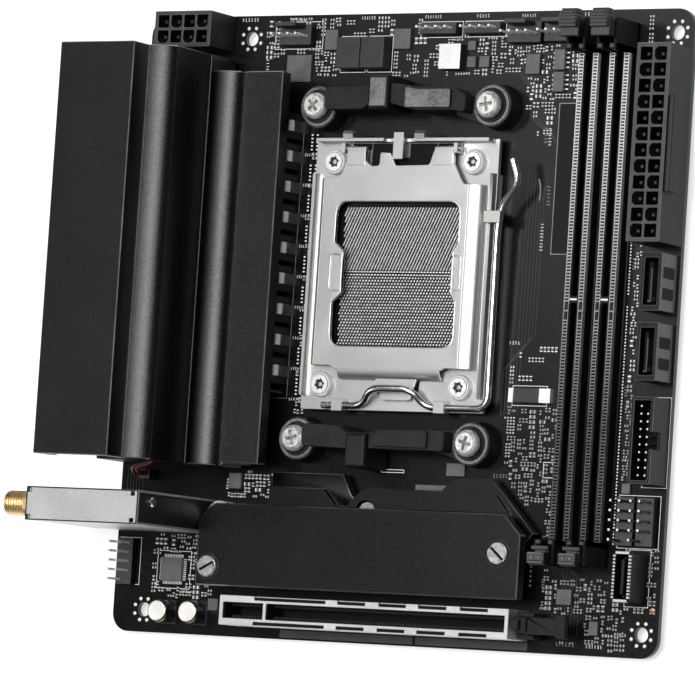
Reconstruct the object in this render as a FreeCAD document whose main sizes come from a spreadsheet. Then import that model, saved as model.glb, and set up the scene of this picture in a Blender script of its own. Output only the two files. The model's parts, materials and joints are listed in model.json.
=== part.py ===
import FreeCAD, Part
import Sketcher
import math
import os
from FreeCAD import Vector, Placement, Rotation

# Mini-ITX motherboard. The row frame has its origin at the centre of the rear lower
# mounting hole, on the underside of the board: +X runs away from the rear connector edge,
# +Y up the rear edge, +Z out of the component side. Layout positions below are written
# from the board's rear lower corner and from its component face, and pos() moves them.

doc = FreeCAD.newDocument("motherboard")
sheet = doc.addObject("Spreadsheet::Sheet", "Dims")
VALUE = {}
ROW = [0]


def dim(alias, value):
    """one driving dimension: a plain number in a cell with a word for its alias"""
    if alias in VALUE:
        return VALUE[alias]
    ROW[0] += 1
    sheet.set("A%d" % ROW[0], alias)
    sheet.set("B%d" % ROW[0], repr(float(value)))
    sheet.setAlias("B%d" % ROW[0], alias)
    VALUE[alias] = float(value)
    return VALUE[alias]


# --- the driving dimensions -------------------------------------------------------------
for alias, value in [
    ("board_len", 170.0), ("board_wid", 170.0), ("board_thick", 1.6), ("board_corner", 5.0),
    ("mount_rad", 1.98), ("mount_left", 10.16), ("mount_low", 6.17), ("mount_right", 165.1), ("mount_high", 163.65), ("mount_inner", 33.02),
    ("sock_cx", 86.7), ("sock_cy", 99.0), ("cool_px", 54.0), ("cool_py", 90.0), ("cool_rad", 2.25),
    ("torx_px", 43.2), ("torx_py", 60.2), ("torx_hole", 1.55),
    ("plate_thick", 2.0), ("mylar_thick", 0.4),
    ("pin_pitch", 2.54), ("atx_pitch", 4.2), ("pin_side", 0.64),
    ("window_len", 39.6), ("window_wid", 39.4),
    ("sink_low", 45.6), ("sink_len", 111.8), ("band_len", 107.2),
    ("dimm_first", 141.5), ("dimm_pitch", 9.25),
    ("lever_rad", 0.95), ("lever_y", 63.4), ("lever_z", 4.35),
    ("hinge_y", 132.6), ("hinge_z", 5.4),
]:
    dim(alias, value)
sheet.recompute()
doc.recompute()
V = VALUE
X0, Y0, Z0 = V["mount_left"], V["mount_low"], V["board_thick"]


def pos(x, y, z):
    return Vector(x - X0, y - Y0, z + Z0)


BIND = []
NODES = []


def bind(obj, prop, alias, value):
    dim(alias, value)
    setattr(obj, prop, value)
    BIND.append((obj, prop, alias))


def box(name, x, y, z, l, w, t):
    o = doc.addObject("Part::Box", name)
    bind(o, "Length", name + "_len", l)
    bind(o, "Width", name + "_wid", w)
    bind(o, "Height", name + "_hgt", t)
    o.Placement = Placement(pos(x, y, z), Rotation())
    return o


def span(name, x, y, z):
    """a box from its three (low, high) pairs"""
    return box(name, x[0], y[0], z[0], round(x[1] - x[0], 4), round(y[1] - y[0], 4), round(z[1] - z[0], 4))


AXIS = {"Z": Rotation(), "X": Rotation(Vector(0, 1, 0), 90), "-X": Rotation(Vector(0, 1, 0), -90), "Y": Rotation(Vector(1, 0, 0), -90)}


def cyl(name, x, y, z, r, t, axis="Z"):
    o = doc.addObject("Part::Cylinder", name)
    bind(o, "Radius", name + "_rad", r)
    bind(o, "Height", name + "_hgt", t)
    o.Placement = Placement(pos(x, y, z), AXIS[axis])
    return o


def cone(name, x, y, z, r1, r2, t, axis="Z"):
    o = doc.addObject("Part::Cone", name)
    bind(o, "Radius1", name + "_base", r1)
    bind(o, "Radius2", name + "_top", r2)
    bind(o, "Height", name + "_hgt", t)
    o.Placement = Placement(pos(x, y, z), AXIS[axis])
    return o


def fuse(name, parts):
    o = doc.addObject("Part::MultiFuse", name)
    o.Shapes = parts
    return o


def cut(name, base, tools):
    if len(tools) > 1:
        t = fuse(name + "_tool", tools)
    else:
        t = tools[0]
    o = doc.addObject("Part::Cut", name)
    o.Base, o.Tool = base, t
    return o


def group(name, parts):
    o = doc.addObject("Part::Compound", name)
    o.Links = parts
    return o


def feature(name, shape):
    o = doc.addObject("Part::Feature", name)
    o.Shape = shape
    return o


def node(obj, label):
    obj.Label = label
    NODES.append(obj)
    return obj


def plane_of(body, role):
    return [f for f in body.Origin.OriginFeatures if f.Role == role][0]


def profile(name, role, points, circles, length, at, rev=False, corner=None):
    """a body padded from one closed polygon, with round holes, all its sizes in the sheet"""
    body = doc.addObject("PartDesign::Body", name)
    sk = body.newObject("Sketcher::SketchObject", name + "Sketch")
    sk.AttachmentSupport = [(plane_of(body, role), "")]
    sk.MapMode = "FlatFace"
    n = len(points)
    for i in range(n):
        a, b = points[i], points[(i + 1) % n]
        sk.addGeometry(Part.LineSegment(Vector(a[0], a[1], 0), Vector(b[0], b[1], 0)), False)
    for i in range(n):
        sk.addConstraint(Sketcher.Constraint("Coincident", i, 2, (i + 1) % n, 1))
    exprs = []

    def fix(kind, geo, pt, value, alias, axis):
        if abs(value) < 1e-9:
            sk.addConstraint(Sketcher.Constraint("PointOnObject", geo, pt, axis))
            return
        dim(alias, value)
        k = sk.addConstraint(Sketcher.Constraint(kind, -1, 1, geo, pt, value))
        exprs.append((k, alias))

    for i, p in enumerate(points):
        fix("DistanceX", i, 1, p[0], "%s_px_%s" % (name, word(i)), -2)
        fix("DistanceY", i, 1, p[1], "%s_py_%s" % (name, word(i)), -1)
    for j, (cx, cy, r) in enumerate(circles):
        g = sk.addGeometry(Part.Circle(Vector(cx, cy, 0), Vector(0, 0, 1), r), False)
        fix("DistanceX", g, 3, cx, "%s_cx_%s" % (name, word(j)), -2)
        fix("DistanceY", g, 3, cy, "%s_cy_%s" % (name, word(j)), -1)
        alias = "%s_rad_%s" % (name, word(j))
        dim(alias, r)
        exprs.append((sk.addConstraint(Sketcher.Constraint("Radius", g, r)), alias))
    pad = body.newObject("PartDesign::Pad", name + "Pad")
    pad.Profile = sk
    pad.Length = length
    pad.Reversed = rev
    sk.Visibility = False
    dim(name + "_depth", length)
    sheet.recompute()
    for k, alias in exprs:
        sk.setExpression("Constraints[%d]" % k, "Dims." + alias)
    pad.setExpression("Length", "Dims." + name + "_depth")
    body.Placement = Placement(at, Rotation())
    doc.recompute()
    if corner:
        edges = []
        for k, e in enumerate(pad.Shape.Edges):
            if e.Curve.TypeId == "Part::GeomLine" and abs(e.tangentAt(e.FirstParameter).z) > 0.99:
                c = e.Vertexes[0].Point
                if any(abs(c.x - q[0]) < 1e-3 and abs(c.y - q[1]) < 1e-3 for q in corner[1]):
                    edges.append("Edge%d" % (k + 1))
        f = body.newObject("PartDesign::Fillet", name + "Fillet")
        f.Base = (pad, edges)
        f.Radius = corner[0]
        dim(name + "_round", corner[0])
        sheet.recompute()
        f.setExpression("Radius", "Dims." + name + "_round")
        body.Tip = f
        doc.recompute()
    return body


WORDS = "abcdefghijklmnopqrstuvwxyz"


def word(i):
    return WORDS[i // 26] + WORDS[i % 26] + "v"


def tube(points, r):
    """a round wire of straight runs joined by tangent arcs"""
    pts = [Vector(*p) for p in points]
    edges, start = [], pts[0]
    for i in range(1, len(pts) - 1):
        a, b, c = pts[i - 1], pts[i], pts[i + 1]
        u, w = (a - b), (c - b)
        lu, lw = u.Length, w.Length
        u.normalize(); w.normalize()
        half = math.acos(max(-1, min(1, u.dot(w)))) / 2.0
        reach = 0.45 * min(lu, lw)
        rad = reach * math.tan(half)
        t1, t2 = b + u * reach, b + w * reach
        bis = (u + w); bis.normalize()
        centre = b + bis * (rad / math.sin(half))
        mid = centre + (b - centre).normalize() * rad
        edges += [Part.LineSegment(start, t1).toShape(), Part.Arc(t1, mid, t2).toShape()]
        start = t2
    edges.append(Part.LineSegment(start, pts[-1]).toShape())
    wire = Part.Wire(edges)
    d = pts[1] - pts[0]
    d.normalize()
    ring = Part.Wire([Part.Circle(pts[0], d, r).toShape()])
    return wire.makePipeShell([ring], True, False)


def bricks(items):
    """separate solids, each given by its three (low, high) pairs in board coordinates"""
    return Part.makeCompound([Part.makeBox(x[1] - x[0], y[1] - y[0], z[1] - z[0], pos(x[0], y[0], z[0])) for x, y, z in items])


SX, SY = V["sock_cx"], V["sock_cy"]
COOL = [(SX + sx * V["cool_px"] / 2, SY + sy * V["cool_py"] / 2) for sx in (-1, 1) for sy in (-1, 1)]
TORX = [(SX + sx * V["torx_px"] / 2, SY + sy * V["torx_py"] / 2) for sx in (-1, 1) for sy in (-1, 1)]
MOUNT = [(V["mount_left"], V["mount_low"]), (V["mount_right"], V["mount_low"]), (V["mount_right"], V["mount_high"]), (V["mount_inner"], V["mount_high"])]
SINKSCREW = [(27.6, 52.0), (27.6, 100.0), (27.6, 148.0)]

# --- board, backplate and its insulator ---------------------------------------------------
L, W = V["board_len"], V["board_wid"]
holes = [(x, y, V["mount_rad"]) for x, y in MOUNT] + [(x, y, V["cool_rad"]) for x, y in COOL] + [(x, y, V["torx_hole"]) for x, y in TORX] + [(x, y, 1.6) for x, y in SINKSCREW]
node(profile("pcb", "XY_Plane", [(0, 0), (L, 0), (L, W), (0, W)], holes, V["board_thick"], pos(0, 0, -V["board_thick"]), corner=(V["board_corner"], [(0, 0), (L, 0), (L, W), (0, W)])), "pcb")

PW, PH, PC = 71.0, 106.0, 9.0


def plate_outline(w, h, c):
    return [(c, 0), (w - c, 0), (w, c), (w, h - c), (w - c, h), (c, h), (0, h - c), (0, c)]


ox, oy = SX - PW / 2, SY - PH / 2
zins = -V["board_thick"] - V["mylar_thick"]
zpl = zins - V["plate_thick"]
node(profile("backplate", "XY_Plane", plate_outline(PW, PH, PC), [(x - ox, y - oy, 2.6) for x, y in COOL] + [(x - ox, y - oy, 1.5) for x, y in TORX] + [(PW / 2, PH / 2, 6.0)], V["plate_thick"], pos(ox, oy, zpl)), "backplate")
node(profile("mylar", "XY_Plane", plate_outline(PW - 1, PH - 1, PC), [(x - ox - 0.5, y - oy - 0.5, 2.8) for x, y in COOL] + [(x - ox - 0.5, y - oy - 0.5, 1.7) for x, y in TORX], V["mylar_thick"], pos(ox + 0.5, oy + 0.5, zins)), "backplate_insulator")

posts = []
for i, (x, y) in enumerate(COOL):
    foot = cyl("postfoot" + word(i), x, y, zpl, 2.6, V["plate_thick"])
    stem = cyl("poststem" + word(i), x, y, zpl, 2.05, 6.6 - zpl - 2.0)
    bore = cyl("postbore" + word(i), x, y, zpl + 1.0, 1.55, 12.0)
    posts.append(cut("post" + word(i), fuse("postsolid" + word(i), [foot, stem]), [bore]))
node(group("backplate_posts", posts), "backplate_posts")

# --- processor socket ---------------------------------------------------------------------
HW, HH = 44.6, 45.4
house = span("sockhouse", (SX - HW / 2, SX + HW / 2), (SY - HH / 2, SY + HH / 2), (0.0, 3.9))
well = span("sockwell", (SX - 20.2, SX + 20.2), (SY - 20.2, SY + 20.2), (2.3, 5.0))
node(cut("socket_body", house, [well]), "socket_body")
node(span("socket_contacts", (SX - 19.0, SX + 19.2), (SY - 19.4, SY + 18.4), (2.3, 2.9)), "socket_contacts")

FX0, FX1, FY0, FY1 = 58.5, 115.5, 62.2, 135.4
ZF = 3.3
base = span("framebase", (FX0, FX1), (FY0, FY1), (2.0, ZF))
hole = span("framehole", (SX - 23.2, SX + 23.2), (SY - 23.4, SY + 23.4), (1.0, 5.0))
legs = span("framelegs", (FX0 + 0.3, FX0 + 1.3), (66.0, 126.0), (0.0, 5.2))
legt = span("framelegt", (FX1 - 1.3, FX1 - 0.3), (66.0, 126.0), (0.0, 5.2))
wall = span("framewall", (FX0 + 1.5, FX1 - 1.5), (FY1 - 1.0, FY1), (0.0, 6.6))
dipa = span("framedipa", (81.4, 84.2), (FY1 - 3, FY1 + 2), (5.0, 9.0))
dipb = span("framedipb", (87.8, 90.6), (FY1 - 3, FY1 + 2), (5.0, 9.0))
tab = span("frametab", (84.4, 87.6), (129.6, 136.9), (5.6, 6.6))
taba = span("frametabriser", (84.4, 87.6), (134.4, 135.4), (3.0, 6.0))
kna = span("frameknucklea", (68.4, 69.6), (131.2, 134.0), (ZF - 0.1, 6.9))
knb = span("frameknuckleb", (103.4, 104.6), (131.2, 134.0), (ZF - 0.1, 6.9))
bores = cyl("framehingebore", 60.0, V["hinge_y"], V["hinge_z"], 0.86, 52.0, "X")
loops = []
for i, xx in enumerate((69.8, 101.6)):
    lo = span("frameloop" + word(i), (xx, xx + 3.4), (V["lever_y"] - 1.65, V["lever_y"] + 1.65), (ZF - 0.1, V["lever_z"] + 1.65))
    loops.append(lo)
pivotbore = cyl("framepivotbore", 60.0, V["lever_y"], V["lever_z"], V["lever_rad"] + 0.06, 52.0, "X")
# the catch for the lever's arm reaches out over it from the frame's right edge
hook = span("framehookfoot", (FX1 - 1.3, FX1 + 0.35), (112.6, 115.8), (0.4, 6.3))
hookt = span("framehooktop", (FX1 - 1.3, 119.2), (112.6, 115.8), (6.3, 7.3))
fr = fuse("framesolid", [base, legs, legt, wall])
fr = cut("frameopen", fr, [hole, dipa, dipb])
fr = fuse("framefull", [fr, tab, taba, kna, knb, hook, hookt] + loops)
screwh = [cyl("framescrew" + word(i), x, y, 0.0, 1.55, 8.0) for i, (x, y) in enumerate(TORX)]
node(cut("socket_frame", fr, [bores, pivotbore] + screwh), "socket_frame")

# the load plate: a pressed steel cover with a window, side flanges, hinge pins and a tongue
LX0, LX1 = 61.7, 112.4
top = span("loadtop", (LX0 + 1.2, LX1 - 1.2), (73.6, 123.6), (4.9, 6.1))
sideA = span("loadsidea", (LX0, LX0 + 1.2), (74.0, 123.2), (3.7, 5.5))
sideB = span("loadsideb", (LX1 - 1.2, LX1), (74.0, 123.2), (3.7, 5.5))
hornA = span("loadhorna", (69.8, 75.0), (123.0, 132.0), (4.9, 6.1))
hornB = span("loadhornb", (96.2, 103.2), (123.0, 132.0), (4.9, 6.1))
headp = span("loadhead", (69.8, 103.2), (122.0, 128.2), (4.9, 6.1))
pinA = cyl("loadpina", 68.2, V["hinge_y"], V["hinge_z"], 0.8, 4.3, "X")
pinB = cyl("loadpinb", 100.6, V["hinge_y"], V["hinge_z"], 0.8, 4.2, "X")
earA = span("loadeara", (69.8, 72.5), (131.0, V["hinge_y"]), (4.9, 5.9))
earB = span("loadearb", (100.6, 103.2), (131.0, V["hinge_y"]), (4.9, 5.9))
foot = span("loadfoot", (69.2, 104.2), (70.4, 74.0), (4.9, 6.1))
tong = span("loadtongue", (82.6, 94.8), (64.0, 71.4), (3.9, 5.2))
window = span("loadwindow", (SX - V["window_len"] / 2, SX + V["window_len"] / 2), (SY - V["window_wid"] / 2, SY + V["window_wid"] / 2), (3.0, 8.0))
lp = cut("loadcut", fuse("loadblank", [top, sideA, sideB, hornA, hornB, headp, foot, tong]), [window])
fingA = span("loadfingera", (SX - V["window_len"] / 2 - 0.2, SX - V["window_len"] / 2 + 3.3), (95.0, 104.4), (4.9, 5.8))
fingB = span("loadfingerb", (SX + V["window_len"] / 2 - 3.3, SX + V["window_len"] / 2 + 0.2), (95.0, 104.4), (4.9, 5.8))
node(fuse("load_plate", [lp, fingA, fingB, pinA, pinB, earA, earB]), "load_plate")

ly, lz = V["lever_y"], V["lever_z"]
lever_path = [(66.0, ly, lz), (78.6, ly, lz), (82.4, 68.0, 7.3), (95.0, 68.0, 7.3), (98.4, ly, lz), (117.3, ly, lz), (117.3, 71.0, lz + 0.1), (117.4, 111.0, lz + 0.75), (118.4, 117.2, lz + 1.0), (124.0, 123.6, lz + 2.2), (122.2, 129.6, lz + 3.0)]
lev = tube([tuple(pos(*p)) for p in lever_path], V["lever_rad"])
node(feature("load_lever", lev if lev.ShapeType == "Solid" else Part.Solid(lev)), "load_lever")

scr = []
for i, (x, y) in enumerate(TORX):
    hd = cyl("torxhead" + word(i), x, y, ZF, 3.4, 1.5)
    sh = cyl("torxshank" + word(i), x, y, -3.9, 1.4, ZF + 3.9)
    rc = cyl("torxrecess" + word(i), x, y, ZF + 0.5, 1.35, 2.0)
    scr.append(cut("torx" + word(i), fuse("torxsolid" + word(i), [hd, sh]), [rc]))
node(group("socket_screws", scr), "socket_screws")

# --- cooler brackets ----------------------------------------------------------------------
def bracket(tag, sgn):
    yc = SY + sgn * V["cool_py"] / 2
    def yr(a, b):
        lo, hi = yc + sgn * a, yc + sgn * b
        return (min(lo, hi), max(lo, hi))
    parts = []
    for i, xx in enumerate((SX - V["cool_px"] / 2, SX + V["cool_px"] / 2)):
        parts.append(cyl("%sflange%s" % (tag, word(i)), xx, yc, 0.0, 6.2, 2.4))
        parts.append(cone("%sboss%s" % (tag, word(i)), xx, yc, 2.0, 5.2, 4.4, 4.6))
    parts.append(span(tag + "bar", (SX - 22.0, SX + 22.0), yr(-3.2, 4.8), (0.0, 11.0)))
    parts.append(span(tag + "rail", (SX - 27.0, SX + 27.0), yr(-2.6, 2.6), (0.0, 5.6)))
    parts.append(span(tag + "lug", (SX - 9.0, SX + 9.0), yr(-3.2, 7.8), (0.0, 14.0)))
    slot = span(tag + "slot", (SX - 6.4, SX + 6.4), yr(-3.4, -1.6), (-1.0, 8.0))
    bores = [cyl("%sbore%s" % (tag, word(i)), xx, yc, -1.0, 2.2, 20.0) for i, xx in enumerate((SX - V["cool_px"] / 2, SX + V["cool_px"] / 2))]
    return cut(tag, fuse(tag + "solid", parts), [slot] + bores)


node(bracket("upperbracket", 1), "cooler_bracket_upper")
node(bracket("lowerbracket", -1), "cooler_bracket_lower")
bs = []
for i, (x, y) in enumerate(COOL):
    hd = cyl("coolhead" + word(i), x, y, 6.6, 3.6, 1.6)
    dm = cone("cooldome" + word(i), x, y, 8.2, 3.6, 2.3, 1.0)
    sh = cyl("coolshank" + word(i), x, y, zpl + 1.4, 1.45, 6.6 - zpl - 1.4)
    c1 = box("coolslota" + word(i), x - 2.2, y - 0.45, 8.2, 4.4, 0.9, 2.0)
    c2 = box("coolslotb" + word(i), x - 0.45, y - 2.2, 8.2, 0.9, 4.4, 2.0)
    bs.append(cut("coolscrew" + word(i), fuse("coolsolid" + word(i), [hd, dm, sh]), [c1, c2]))
node(group("bracket_screws", bs), "bracket_screws")

# --- rear heatsink: one stepped extrusion over the rear connectors and the power stages ----
xs = 1.6
SINK = [(0.0, 41.4), (24.0, 41.4), (24.0, 34.1), (25.4, 34.0), (27.4, 33.6), (29.4, 32.7), (31.3, 31.0),
        (31.3, 14.4), (32.6, 15.0), (34.6, 15.4), (36.8, 15.3), (38.8, 14.7), (40.6, 13.4), (40.9, 12.4), (42.5, 12.4),
        (42.5, 13.3), (53.9, 13.3), (53.9, 9.0), (45.0, 9.0), (45.0, 2.2), (26.8, 2.2), (26.8, 31.0), (21.6, 31.0),
        (21.6, 38.9), (2.6, 38.9), (2.6, 33.4), (0.0, 33.4)]
long_part = profile("rearsink", "XZ_Plane", SINK, [], V["sink_len"], pos(-xs, V["sink_low"], 0.0), rev=True)
trim = span("sinktrim", (31.4 - xs, 70.0), (V["sink_low"] + V["band_len"], 175.0), (-1.0, 60.0))
trimb = span("sinktrimb", (42.0 - xs, 70.0), (V["sink_low"] - 1.0, V["sink_low"] + 0.8), (-1.0, 60.0))
node(cut("rear_heatsink", long_part, [trim, trimb]), "rear_heatsink")
PHASE = [72.4 + 8.33 * i for i in range(9)]
pad_a = span("padpower", (31.0, 42.4), (68.0, 144.0), (1.2, 2.2))
node(feature("vrm_mosfets", bricks([((32.6, 37.6), (y - 3.0, y + 3.0), (0.0, 1.2)) for y in PHASE])), "vrm_mosfets")
CHOKE = [((44.0, 50.8), (y - 3.5, y + 3.5), (0.0, 7.8)) for y in PHASE]
TERMINAL = [((50.8, 51.1), (y - 1.5, y + 1.5), (0.2, 6.2)) for y in PHASE] + [((51.1, 52.4), (y - 1.5, y + 1.5), (0.0, 0.2)) for y in PHASE]
ss = []
for i, (x, y) in enumerate(SINKSCREW):
    hd = cyl("sinkhead" + word(i), x, y, -V["board_thick"] - 1.5, 2.9, 1.5)
    sh = cyl("sinkshank" + word(i), x, y, -V["board_thick"] - 0.1, 1.45, V["board_thick"] + 2.3)
    ss.append(fuse("sinkscrew" + word(i), [hd, sh]))
node(group("heatsink_screws", ss), "heatsink_screws")

# --- drive slot heatsink and the chipset ---------------------------------------------------
M0, N0 = 33.4, 13.3
m2top = profile("drivesink", "XY_Plane", [(0, 0), (100.1, 0), (100.1, 17.0), (94.9, 22.3), (5.2, 22.3), (2.2, 20.6), (0, 17.0)], [(3.7, 5.1, 1.7), (93.8, 11.9, 1.7)], 3.6, pos(M0, N0, 7.5))
node(m2top, "m2_heatsink")
pad_b = span("paddrive", (50.0, 122.0), (15.0, 34.0), (6.9, 7.5))
node(group("thermal_pads", [pad_a, pad_b]), "thermal_pads")
ms = []
for i, (x, y) in enumerate(((37.1, 18.4), (127.2, 25.2))):
    hd = cyl("m2head" + word(i), x, y, 11.1, 2.9, 0.9)
    sl = box("m2slot" + word(i), x - 3.2, y - 0.4, 11.5, 6.4, 0.8, 1.0)
    sh = cyl("m2shank" + word(i), x, y, 5.2, 1.2, 5.9)
    ms.append(cut("m2screw" + word(i), fuse("m2screwsolid" + word(i), [hd, sh]), [sl]))
node(group("m2_screws", ms), "m2_screws")
so = []
for i, (x, y, r, b, zt) in enumerate(((37.1, 18.4, 2.6, 1.3, 7.5), (127.2, 25.2, 2.6, 1.3, 7.5), (37.4, 32.3, 4.2, 1.3, 7.4), (82.6, 35.0, 2.7, 1.0, 5.0))):
    a = cyl("m2post" + word(i), x, y, 0.0, r, zt)
    bb = cyl("m2postbore" + word(i), x, y, 1.0, b, 8.0)
    so.append(cut("m2standoff" + word(i), a, [bb]))
node(group("m2_standoffs", so), "m2_standoffs")
sk = span("m2sockbody", (42.4, 48.6), (14.2, 36.1), (0.0, 6.6))
sl = span("m2sockslot", (44.6, 49.0), (15.4, 34.9), (4.8, 5.7))
m2s = cut("m2sock", sk, [sl])
CH0, CH1 = 52.0, 22.0
low = profile("chiplow", "XY_Plane", [(0, 0), (72.0, 0), (72.0, 6.3), (79.2, 6.3), (81.7, 9.1), (70.8, 20.5), (68.2, 22.9), (56.5, 22.9), (53.0, 19.4), (30.0, 19.4), (26.6, 16.0), (25.0, 17.6), (22.2, 22.9), (0, 22.9)], [(30.6, 13.0, 3.1)], 3.2, pos(CH0, CH1, 1.4))
upp = profile("chiphigh", "XY_Plane", [(0, 0), (66.0, 0), (66.0, 3.4), (76.2, 12.0), (70.6, 18.7), (29.2, 18.7), (24.8, 14.3), (21.4, 14.3), (17.2, 18.7), (0, 18.7)], [(30.6, 13.0, 3.1)], 1.6, pos(CH0, CH1, 4.6))
bay = span("drivebay", (51.0, 130.0), (21.0, 35.9), (4.6, 8.0))
node(cut("chipset_heatsink", fuse("chipsinksolid", [low, upp]), [bay]), "chipset_heatsink")
node(span("chipset", (95.0, 115.0), (23.0, 43.0), (0.0, 1.4)), "chipset")

# --- expansion slot ------------------------------------------------------------------------
px0, px1, py0, py1 = 42.4, 131.4, 3.25, 10.55
ps = span("slotbody", (px0, px1), (py0, py1), (0.0, 11.0))
sa = span("slotshort", (43.6, 55.5), (4.95, 8.85), (3.0, 12.0))
sb = span("slotlong", (57.2, 130.2), (4.95, 8.85), (3.0, 12.0))
slot_open = cut("slotopen", ps, [sa, sb])
sh = span("shieldouter", (px0 - 0.35, px1 + 0.35), (py0 - 0.35, py1 + 0.35), (0.6, 11.4))
si = span("shieldinner", (px0, px1), (py0, py1), (-1.0, 11.0))
oa = span("shieldshort", (43.2, 55.9), (4.75, 9.05), (9.0, 13.0))
ob = span("shieldlong", (56.9, 130.6), (4.75, 9.05), (9.0, 13.0))
notch = []
for i, (a, b) in enumerate(((53.0, 75.4), (79.2, 87.8), (92.0, 100.4), (104.2, 112.8), (117.0, 125.4))):
    notch.append(span("shieldnotcha" + word(i), (a, b), (py1 - 0.75, py1 + 1.0), (10.3, 13.0)))
    notch.append(span("shieldnotchb" + word(i), (a, b), (py0 - 1.0, py0 + 0.75), (10.3, 13.0)))
node(cut("pcie_shield", sh, [si, oa, ob] + notch), "pcie_shield")
EDGE = ([((a, b), yy, (3.0, 8.6)) for a, b in ((44.2, 54.8), (57.8, 129.6)) for yy in ((4.95, 5.5), (8.3, 8.85))])
# retaining latch beyond the slot's far end, hinged across it
hs = span("latchhousea", (131.85, 136.6), (3.4, 4.6), (0.0, 6.4))
hb = span("latchhouseb", (131.85, 136.6), (9.2, 10.4), (0.0, 6.4))
hf = span("latchhousef", (131.85, 136.6), (3.4, 10.4), (0.0, 1.2))
hbore = cyl("latchhousebore", 134.6, 2.0, 3.4, 0.96, 10.0, "Y")
linkb = span("latchlinkb", (131.3, 131.95), (3.9, 9.9), (0.0, 0.55))
house_open = cut("latchhouseopen", fuse("latchhouse", [hs, hb, hf]), [hbore])
node(fuse("pcie_slot", [slot_open, linkb, house_open]), "pcie_slot")
la = span("latchstem", (132.9, 136.0), (4.9, 8.9), (2.0, 9.6))
lb = span("latchpaddle", (135.0, 146.6), (4.7, 9.1), (7.2, 8.8))
lc = span("latchlip", (144.8, 147.6), (3.9, 9.9), (7.6, 9.4))
ld = cyl("latchpin", 134.6, 3.8, 3.4, 0.9, 6.2, "Y")
le = span("latchhook", (132.3, 134.4), (5.6, 8.2), (9.0, 11.0))
node(fuse("pcie_latch", [la, lb, lc, ld, le]), "pcie_latch")

# --- memory slots and their latches ---------------------------------------------------------
for s, tag in enumerate(("a", "b")):
    cx = V["dimm_first"] + s * V["dimm_pitch"]
    hw = 2.95
    n = "dimm" + tag
    body = span(n + "body", (cx - hw, cx + hw), (28.0, 159.4), (0.0, 4.6))
    groove = span(n + "groove", (cx - 0.8, cx + 0.8), (29.4, 91.9), (1.6, 6.0))
    groovb = span(n + "grooveb", (cx - 0.8, cx + 0.8), (93.7, 157.4), (1.6, 6.0))
    tows = []
    for e, (ya, yb, zt) in enumerate(((157.8, 166.2, 12.4), (23.0, 29.4, 12.4))):
        for k, (xa, xb) in enumerate(((cx - hw, cx - hw + 0.9), (cx + hw - 0.9, cx + hw))):
            tows.append(span("%stower%s%s" % (n, word(e), word(k)), (xa, xb), (ya, yb), (0.0, zt)))
        tows.append(span("%sfloor%s" % (n, word(e)), (cx - hw, cx + hw), (ya, yb), (0.0, 0.8)))
        wy = (157.8, 159.4) if e == 0 else (28.0, 29.4)
        tows.append(span("%swall%s" % (n, word(e)), (cx - hw, cx - 0.9), wy, (0.0, zt)))
        tows.append(span("%swallb%s" % (n, word(e)), (cx + 0.9, cx + hw), wy, (0.0, zt)))
    pa = cyl(n + "borea", cx - 5, 163.6, 3.4, 0.86, 10.0, "X")
    pb = cyl(n + "boreb", cx - 5, 25.4, 3.4, 0.86, 10.0, "X")
    node(cut("dimm_slot_" + tag, fuse(n + "solid", [body] + tows), [groove, groovb, pa, pb]), "dimm_slot_" + tag)
    for e, (sgn, yp, nm) in enumerate(((1, 163.6, "upper"), (-1, 25.4, "lower"))):
        q = n + nm
        def yy(a, b):
            lo, hi = yp + sgn * a, yp + sgn * b
            return (min(lo, hi), max(lo, hi))
        stem = span(q + "stem", (cx - 1.9, cx + 1.9), yy(-1.7, 1.5), (1.9, 13.4))
        if e == 0:
            head = [span(q + "heada", (cx - 2.75, cx + 2.75), yy(-2.8, 1.9), (13.1, 16.0)),
                    span(q + "headb", (cx - 2.55, cx + 2.55), yy(-0.6, 2.9), (13.6, 17.3)),
                    span(q + "headc", (cx - 2.4, cx + 2.4), yy(2.7, 3.6), (13.4, 16.9)),
                    span(q + "headd", (cx - 2.4, cx + 2.4), yy(3.4, 4.4), (13.8, 16.3))]
        else:
            head = [span(q + "heada", (cx - 2.55, cx + 2.55), yy(-0.4, 1.9), (13.1, 16.6)),
                    span(q + "headb", (cx - 2.3, cx + 2.3), yy(1.6, 2.9), (13.6, 16.0)),
                    span(q + "headc", (cx - 2.55, cx + 2.55), yy(-2.2, -1.2), (13.1, 14.6)),
                    span(q + "headd", (cx - 1.6, cx + 1.6), yy(-1.4, 0.0), (13.1, 14.0))]
        pin = cyl(q + "pin", cx - 2.7, yp, 3.4, 0.8, 5.4, "X")
        node(fuse("dimm_latch_%s_%s" % (tag, nm), [stem, pin] + head), "dimm_latch_%s_%s" % (tag, nm))
DX = [V["dimm_first"], V["dimm_first"] + V["dimm_pitch"]]
node(feature("slot_contacts", bricks(EDGE + [((x + sx * 1.15 - 0.22, x + sx * 1.15 + 0.22), (ya, yb), (4.6, 4.68)) for x in DX for sx in (-1, 1) for ya, yb in ((29.8, 91.5), (94.1, 157.0))] + [((x + 2.96, x + 3.5), (30.0, 157.0), (0.0, 0.14)) for x in DX])), "slot_contacts")

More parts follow.
